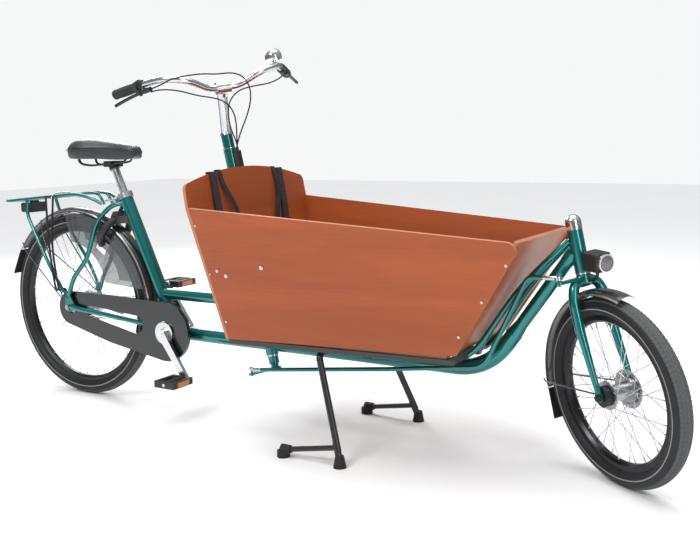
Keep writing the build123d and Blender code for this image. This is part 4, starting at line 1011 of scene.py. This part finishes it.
def buckle(name, y, z):
    """side-release buckle: frame, two prongs and a rib, rounded"""
    bm = bmesh.new()
    X, Y2, Zd = INW, Vector((0, 1, 0)), Vector((-SLOPE, 0, 1)).normalized()
    c = back_pt(y, z, 9.6)

    def blk(u0, u1, v0, v1, w0, w1):
        q = [c + (Y2 * u + Zd * v + X * w) * MM for u in (u0, u1) for v in (v0, v1) for w in (w0, w1)]
        vv = [bm.verts.new(p) for p in q]
        for f in ((0, 1, 3, 2), (4, 6, 7, 5), (0, 4, 5, 1), (2, 3, 7, 6), (0, 2, 6, 4), (1, 5, 7, 3)):
            bm.faces.new([vv[i] for i in f])
    blk(-22, 22, -27, -20, -3, 3)
    blk(-22, 22, 20, 27, -3, 3)
    blk(-22, -15, -20.2, 20.2, -2.6, 2.6)
    blk(15, 22, -20.2, 20.2, -2.6, 2.6)
    blk(-14, 14, -14, 12, -2.0, 3.4)
    blk(-4, 4, 12, 20.1, -1.6, 2.4)
    bmesh.ops.recalc_face_normals(bm, faces=bm.faces)
    bmesh.ops.bevel(bm, geom=list(bm.edges), offset=1.3 * MM, segments=3, affect="EDGES", profile=0.6)
    me = bpy.data.meshes.new(name); bm.to_mesh(me); bm.free()
    for p in me.polygons:
        p.use_smooth = True
    me.materials.append(BLACKPL)
    o = bpy.data.objects.new(name, me); COLL.objects.link(o)
    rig.ride(o, "frame"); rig.slot(o, "black_plastic")
    return o


buckle("belt_buckle_right", -173, 628)
buckle("belt_buckle_left", 160, 628)

# ------------------------------------------------------------------ carrier straps: two braided elastic cords and a wire hook
def m_braid(name, col):
    """braided elastic: crossing threads, with painted shade in the gaps between them"""
    a = Mat(name)
    c = a.coord()
    w1 = a.noise(a.mapping(c, (900, 900, 420), (0.7, 0.0, 0.0)), 1.0, 2.0)
    w2 = a.noise(a.mapping(c, (900, 900, 420), (-0.7, 0.0, 0.0)), 1.0, 2.0)
    th = a.math("MAXIMUM", w1, w2)
    # painted shade: colour follows the thread height, darker in the gaps and lighter on the thread tops
    a.col(a.mix(a.ramp(th, [(0.40, (0, 0, 0)), (0.66, (1, 1, 1))]), col, tuple(x * 2.6 + 0.010 for x in col)))
    a.set(rough=a.mixv(th, 0.86, 0.66), spec=0.25)
    a.normal(a.bump(th, 0.6, 0.0008))
    return a.m


BRAID = m_braid("braided_elastic", (0.009, 0.009, 0.010))


def carrier_z(x):
    return 703 + (x + 290) * 0.0915


parts = []
for off in (-8.5, 8.5):
    q = [(-60 + off * 2.2, -77, carrier_z(-60) + 3), (-48 + off, -95, 560), (-26 + off * 0.9, -101, 420), (-14 + off * 0.7, -101, 392)]
    parts.append(sweep("elastic", smooth_path([tuple(v * MM for v in p) for p in q], 14), 0.0037, BRAID, seg=16))
q = [(-40, 0, carrier_z(-40) + 10), (-46, -62, carrier_z(-46) + 10), (-50, -78.0, carrier_z(-50) - 6)]
parts.append(sweep("hook", smooth_path([tuple(v * MM for v in p) for p in q], 10), 0.0025, STEEL, seg=12))
strap_piece = join("carrier_straps_detail", parts)
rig.ride(strap_piece, "frame"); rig.replaces(strap_piece, "carrier_straps"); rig.slot(strap_piece, "rubber")

# ------------------------------------------------------------------ grips, with moulded rings and a flared end
CLPU, CLPF = 0.1382, 0.0648
bar_c = [(0, 0, 0), (5, 50, 0), (38, 113, 26), (30, 180, 43), (-45, 218, 52), (-187, 292, 58)]


def B(p, s):
    return S(CLPU + p[2] * MM, CLPF + p[0] * MM, s * p[1] * MM)


gA, gB = Vector(bar_c[4]), Vector(bar_c[5])
GL = (gB - gA).length
gdir = (gB - gA).normalized()


def g_at(d, s):
    return RC(B(gA + gdir * d, s))


GRIPM = m_rubber("grip_rubber", (0.014, 0.015, 0.016), 0.55, 1500.0, 0.25)
for s, g0, nm in ((-1, 62.4, "grip_right"), (1, 40.4, "grip_left")):
    L = GL + 2.6 - g0
    prof = [(0, 0.0112), (0, 0.0148), (1.2 * MM, 0.0158)]
    k = 26
    for i in range(k * 6 + 1):
        t = i / (k * 6)
        a = 3 * MM + (L - 9) * MM * t
        r = 0.0142 + 0.0013 * sin(pi * t) + 0.00055 * (1 if (i % 6) in (1, 2, 3) else 0)
        prof.append((a, r))
    prof += [((L - 5) * MM, 0.0158), ((L - 1) * MM, 0.0156), (L * MM, 0.0140), (L * MM, 0.0)]
    d = (g_at(100, s) - g_at(0, s)).normalized()
    o = revolve(nm, prof, g_at(g0, s), d, GRIPM, seg=48, sharp=50)
    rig.ride(o, "column"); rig.replaces(o, "grips"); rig.slot(o, "rubber")

# twist shifter collar with ribs along it
for_d = (g_at(100, -1) - g_at(0, -1)).normalized()
x_, y_, d_ax = basis(for_d)
vs, fs = [], []
seg = 96
prof = [(37.0, 0.0114), (37.0, 0.0192), (38.5, 0.0199), (43, 0.0198), (45, 0.0186), (59, 0.0172), (61.3, 0.0168), (61.3, 0.0114)]
for i in range(seg):
    t = 2 * pi * i / seg
    e = x_ * cos(t) + y_ * sin(t)
    for k, (a, r) in enumerate(prof):
        rr = r - (0.0009 if (i % 4 < 2 and 4 <= k <= 6) else 0.0)
        vs.append(g_at(0, -1) + d_ax * a * MM + e * rr)
n_ = len(prof)
for i in range(seg):
    j = (i + 1) % seg
    for k in range(n_):
        k2 = (k + 1) % n_
        fs.append((i * n_ + k, i * n_ + k2, j * n_ + k2, j * n_ + k))
o = obj("shifter_sleeve", vs, fs, GRIPM, sharp=40)
fix(o)
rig.ride(o, "shifter"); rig.replaces(o, "twist_shifter"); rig.slot(o, "black_plastic")
# ------------------------------------------------------------------ saddle rails, and a coil helper for springs that is not used
def coil(c0, c1, r, wire, turns, n=26):
    c0, c1 = Vector(c0), Vector(c1)
    x, y, d = basis(c1 - c0)
    L = (c1 - c0).length
    out = []
    for i in range(int(turns * n) + 1):
        t = i / (turns * n)
        a = 2 * pi * turns * t
        # closed end turns
        z = t
        z = 0.06 * t / 0.12 if t < 0.12 else (0.06 + (t - 0.12) / 0.76 * 0.88 if t < 0.88 else 0.94 + (t - 0.88) / 0.12 * 0.06)
        out.append(c0 + d * (wire + (L - 2 * wire) * z) + (x * cos(a) + y * sin(a)) * r)
    return out


parts = []
for s in (-1, 1):
    rail = [(0.058, s * 0.040, 0.864), (0.060, s * 0.039, 0.848), (0.074, s * 0.035, 0.8375), (0.108, s * 0.027, 0.8335), (0.160, s * 0.022, 0.8375), (0.210, s * 0.020, 0.8410), (0.246, s * 0.0165, 0.8460), (0.260, s * 0.0130, 0.8560), (0.265, s * 0.0115, 0.866)]
    parts.append(sweep("rail", smooth_path(rail, 7), 0.0035, BLACK, seg=12))
spr = join("saddle_rails", parts)
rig.ride(spr, "seat"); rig.slot(spr, "black_steel")

# ------------------------------------------------------------------ front lamp: glass and reflector
LPc = H(0.124, 0.064)
def lampf(x, y, z):
    """point of the lamp's own axes, steered"""
    return RH(LPc + Vector((x, y, z)))


ld = (lampf(1, 0, 0) - lampf(0, 0, 0)).normalized()
lu = (lampf(0, 0, 1) - lampf(0, 0, 0)).normalized()
g = revolve("lamp_bezel", [(0.0302, 0.0), (0.0302, 0.0228), (0.034, 0.0240), (0.040, 0.0236), (0.0402, 0.0205), (0.0350, 0.0200), (0.0318, 0.0120), (0.0312, 0.0)], lampf(0, 0, 0), ld, CHROME, seg=64, sharp=40)
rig.ride(g, "fork_group"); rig.slot(g, "chrome")
g = revolve("lamp_lens", [(0.0362, 0.0198), (0.0380, 0.0198), (0.0398, 0.0150), (0.0406, 0.0080), (0.0408, 0.0), (0.0384, 0.0), (0.0378, 0.0120), (0.0362, 0.0180)], lampf(0, 0, 0), ld, GLASS, seg=64, sharp=40)
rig.ride(g, "fork_group"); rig.slot(g, "clear")

# ------------------------------------------------------------------ lights, floor, world
w = bpy.data.worlds.new("w")
scene.world = w
w.use_nodes = True
wt = w.node_tree
wt.nodes.clear()
wo = wt.nodes.new("ShaderNodeOutputWorld")
tc = wt.nodes.new("ShaderNodeTexCoord")
sx = wt.nodes.new("ShaderNodeSeparateXYZ")
wt.links.new(tc.outputs["Generated"], sx.inputs[0])
rp = wt.nodes.new("ShaderNodeValToRGB")
el = rp.color_ramp.elements
el[0].position, el[0].color = 0.46, (0.16, 0.165, 0.17, 1)
el[1].position, el[1].color = 0.95, (0.62, 0.63, 0.65, 1)
q = el.new(0.56); q.color = (0.22, 0.225, 0.23, 1)
q = el.new(0.70); q.color = (0.34, 0.345, 0.355, 1)
mr = wt.nodes.new("ShaderNodeMapRange")
mr.inputs[1].default_value, mr.inputs[2].default_value = -1.0, 1.0
wt.links.new(sx.outputs[2], mr.inputs[0])
wt.links.new(mr.outputs[0], rp.inputs[0])
b1 = wt.nodes.new("ShaderNodeBackground")
wt.links.new(rp.outputs[0], b1.inputs[0])
b1.inputs[1].default_value = 0.9
b2 = wt.nodes.new("ShaderNodeBackground")
b2.inputs[0].default_value = (0.93, 0.935, 0.94, 1)
b2.inputs[1].default_value = 1.0
lp = wt.nodes.new("ShaderNodeLightPath")
mx = wt.nodes.new("ShaderNodeMixShader")
wt.links.new(lp.outputs["Is Camera Ray"], mx.inputs[0])
wt.links.new(b1.outputs[0], mx.inputs[1])
wt.links.new(b2.outputs[0], mx.inputs[2])
wt.links.new(mx.outputs[0], wo.inputs[0])


def area(name, loc, target, size, power, col=(1, 1, 1), size_y=None):
    d = bpy.data.lights.new(name, "AREA")
    d.energy = power
    d.color = col
    d.size = size
    if size_y:
        d.shape = "RECTANGLE"; d.size_y = size_y
    o = bpy.data.objects.new(name, d)
    COLL.objects.link(o)
    o.location = loc
    o.rotation_euler = (Vector(target) - Vector(loc)).to_track_quat("-Z", "Y").to_euler()
    return o


area("key", (0.4, -3.2, 3.4), (1.0, 0, 0.5), 1.6, 80, size_y=1.0)
area("fill", (4.4, -1.8, 1.6), (1.4, 0, 0.5), 0.7, 34, size_y=2.4)
area("rim", (-2.2, 2.6, 2.6), (0.8, 0, 0.5), 1.6, 70)
area("top", (1.0, 0.3, 4.0), (1.0, 0, 0.4), 2.6, 45)
sd = bpy.data.lights.new("even", "SUN")
sd.energy = 1.5
sd.angle = 1.0
so = bpy.data.objects.new("even", sd)
COLL.objects.link(so)
so.location = (1.0, 0.0, 5.0)

fm = Mat("floor_pale")
c = fm.coord()
fm.col(fm.mix(fm.noise(c, 1.5, 2.0), (0.90, 0.90, 0.90), (0.93, 0.93, 0.93)))
fm.set(rough=0.75)
fl = obj("floor", [(-12, -12, -0.0005), (14, -12, -0.0005), (14, 14, -0.0005), (-12, 14, -0.0005)], [(0, 1, 2, 3)], fm.m, smooth=False)
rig.stage(fl)
scene.view_settings.view_transform = "Standard"
scene.view_settings.look = "None"
scene.view_settings.exposure = 0.0

LO1, HI1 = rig.bounds()
json.dump({"cad": [list(LO0), list(HI0)], "visual": [list(LO1), list(HI1)]}, open("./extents.json", "w"))
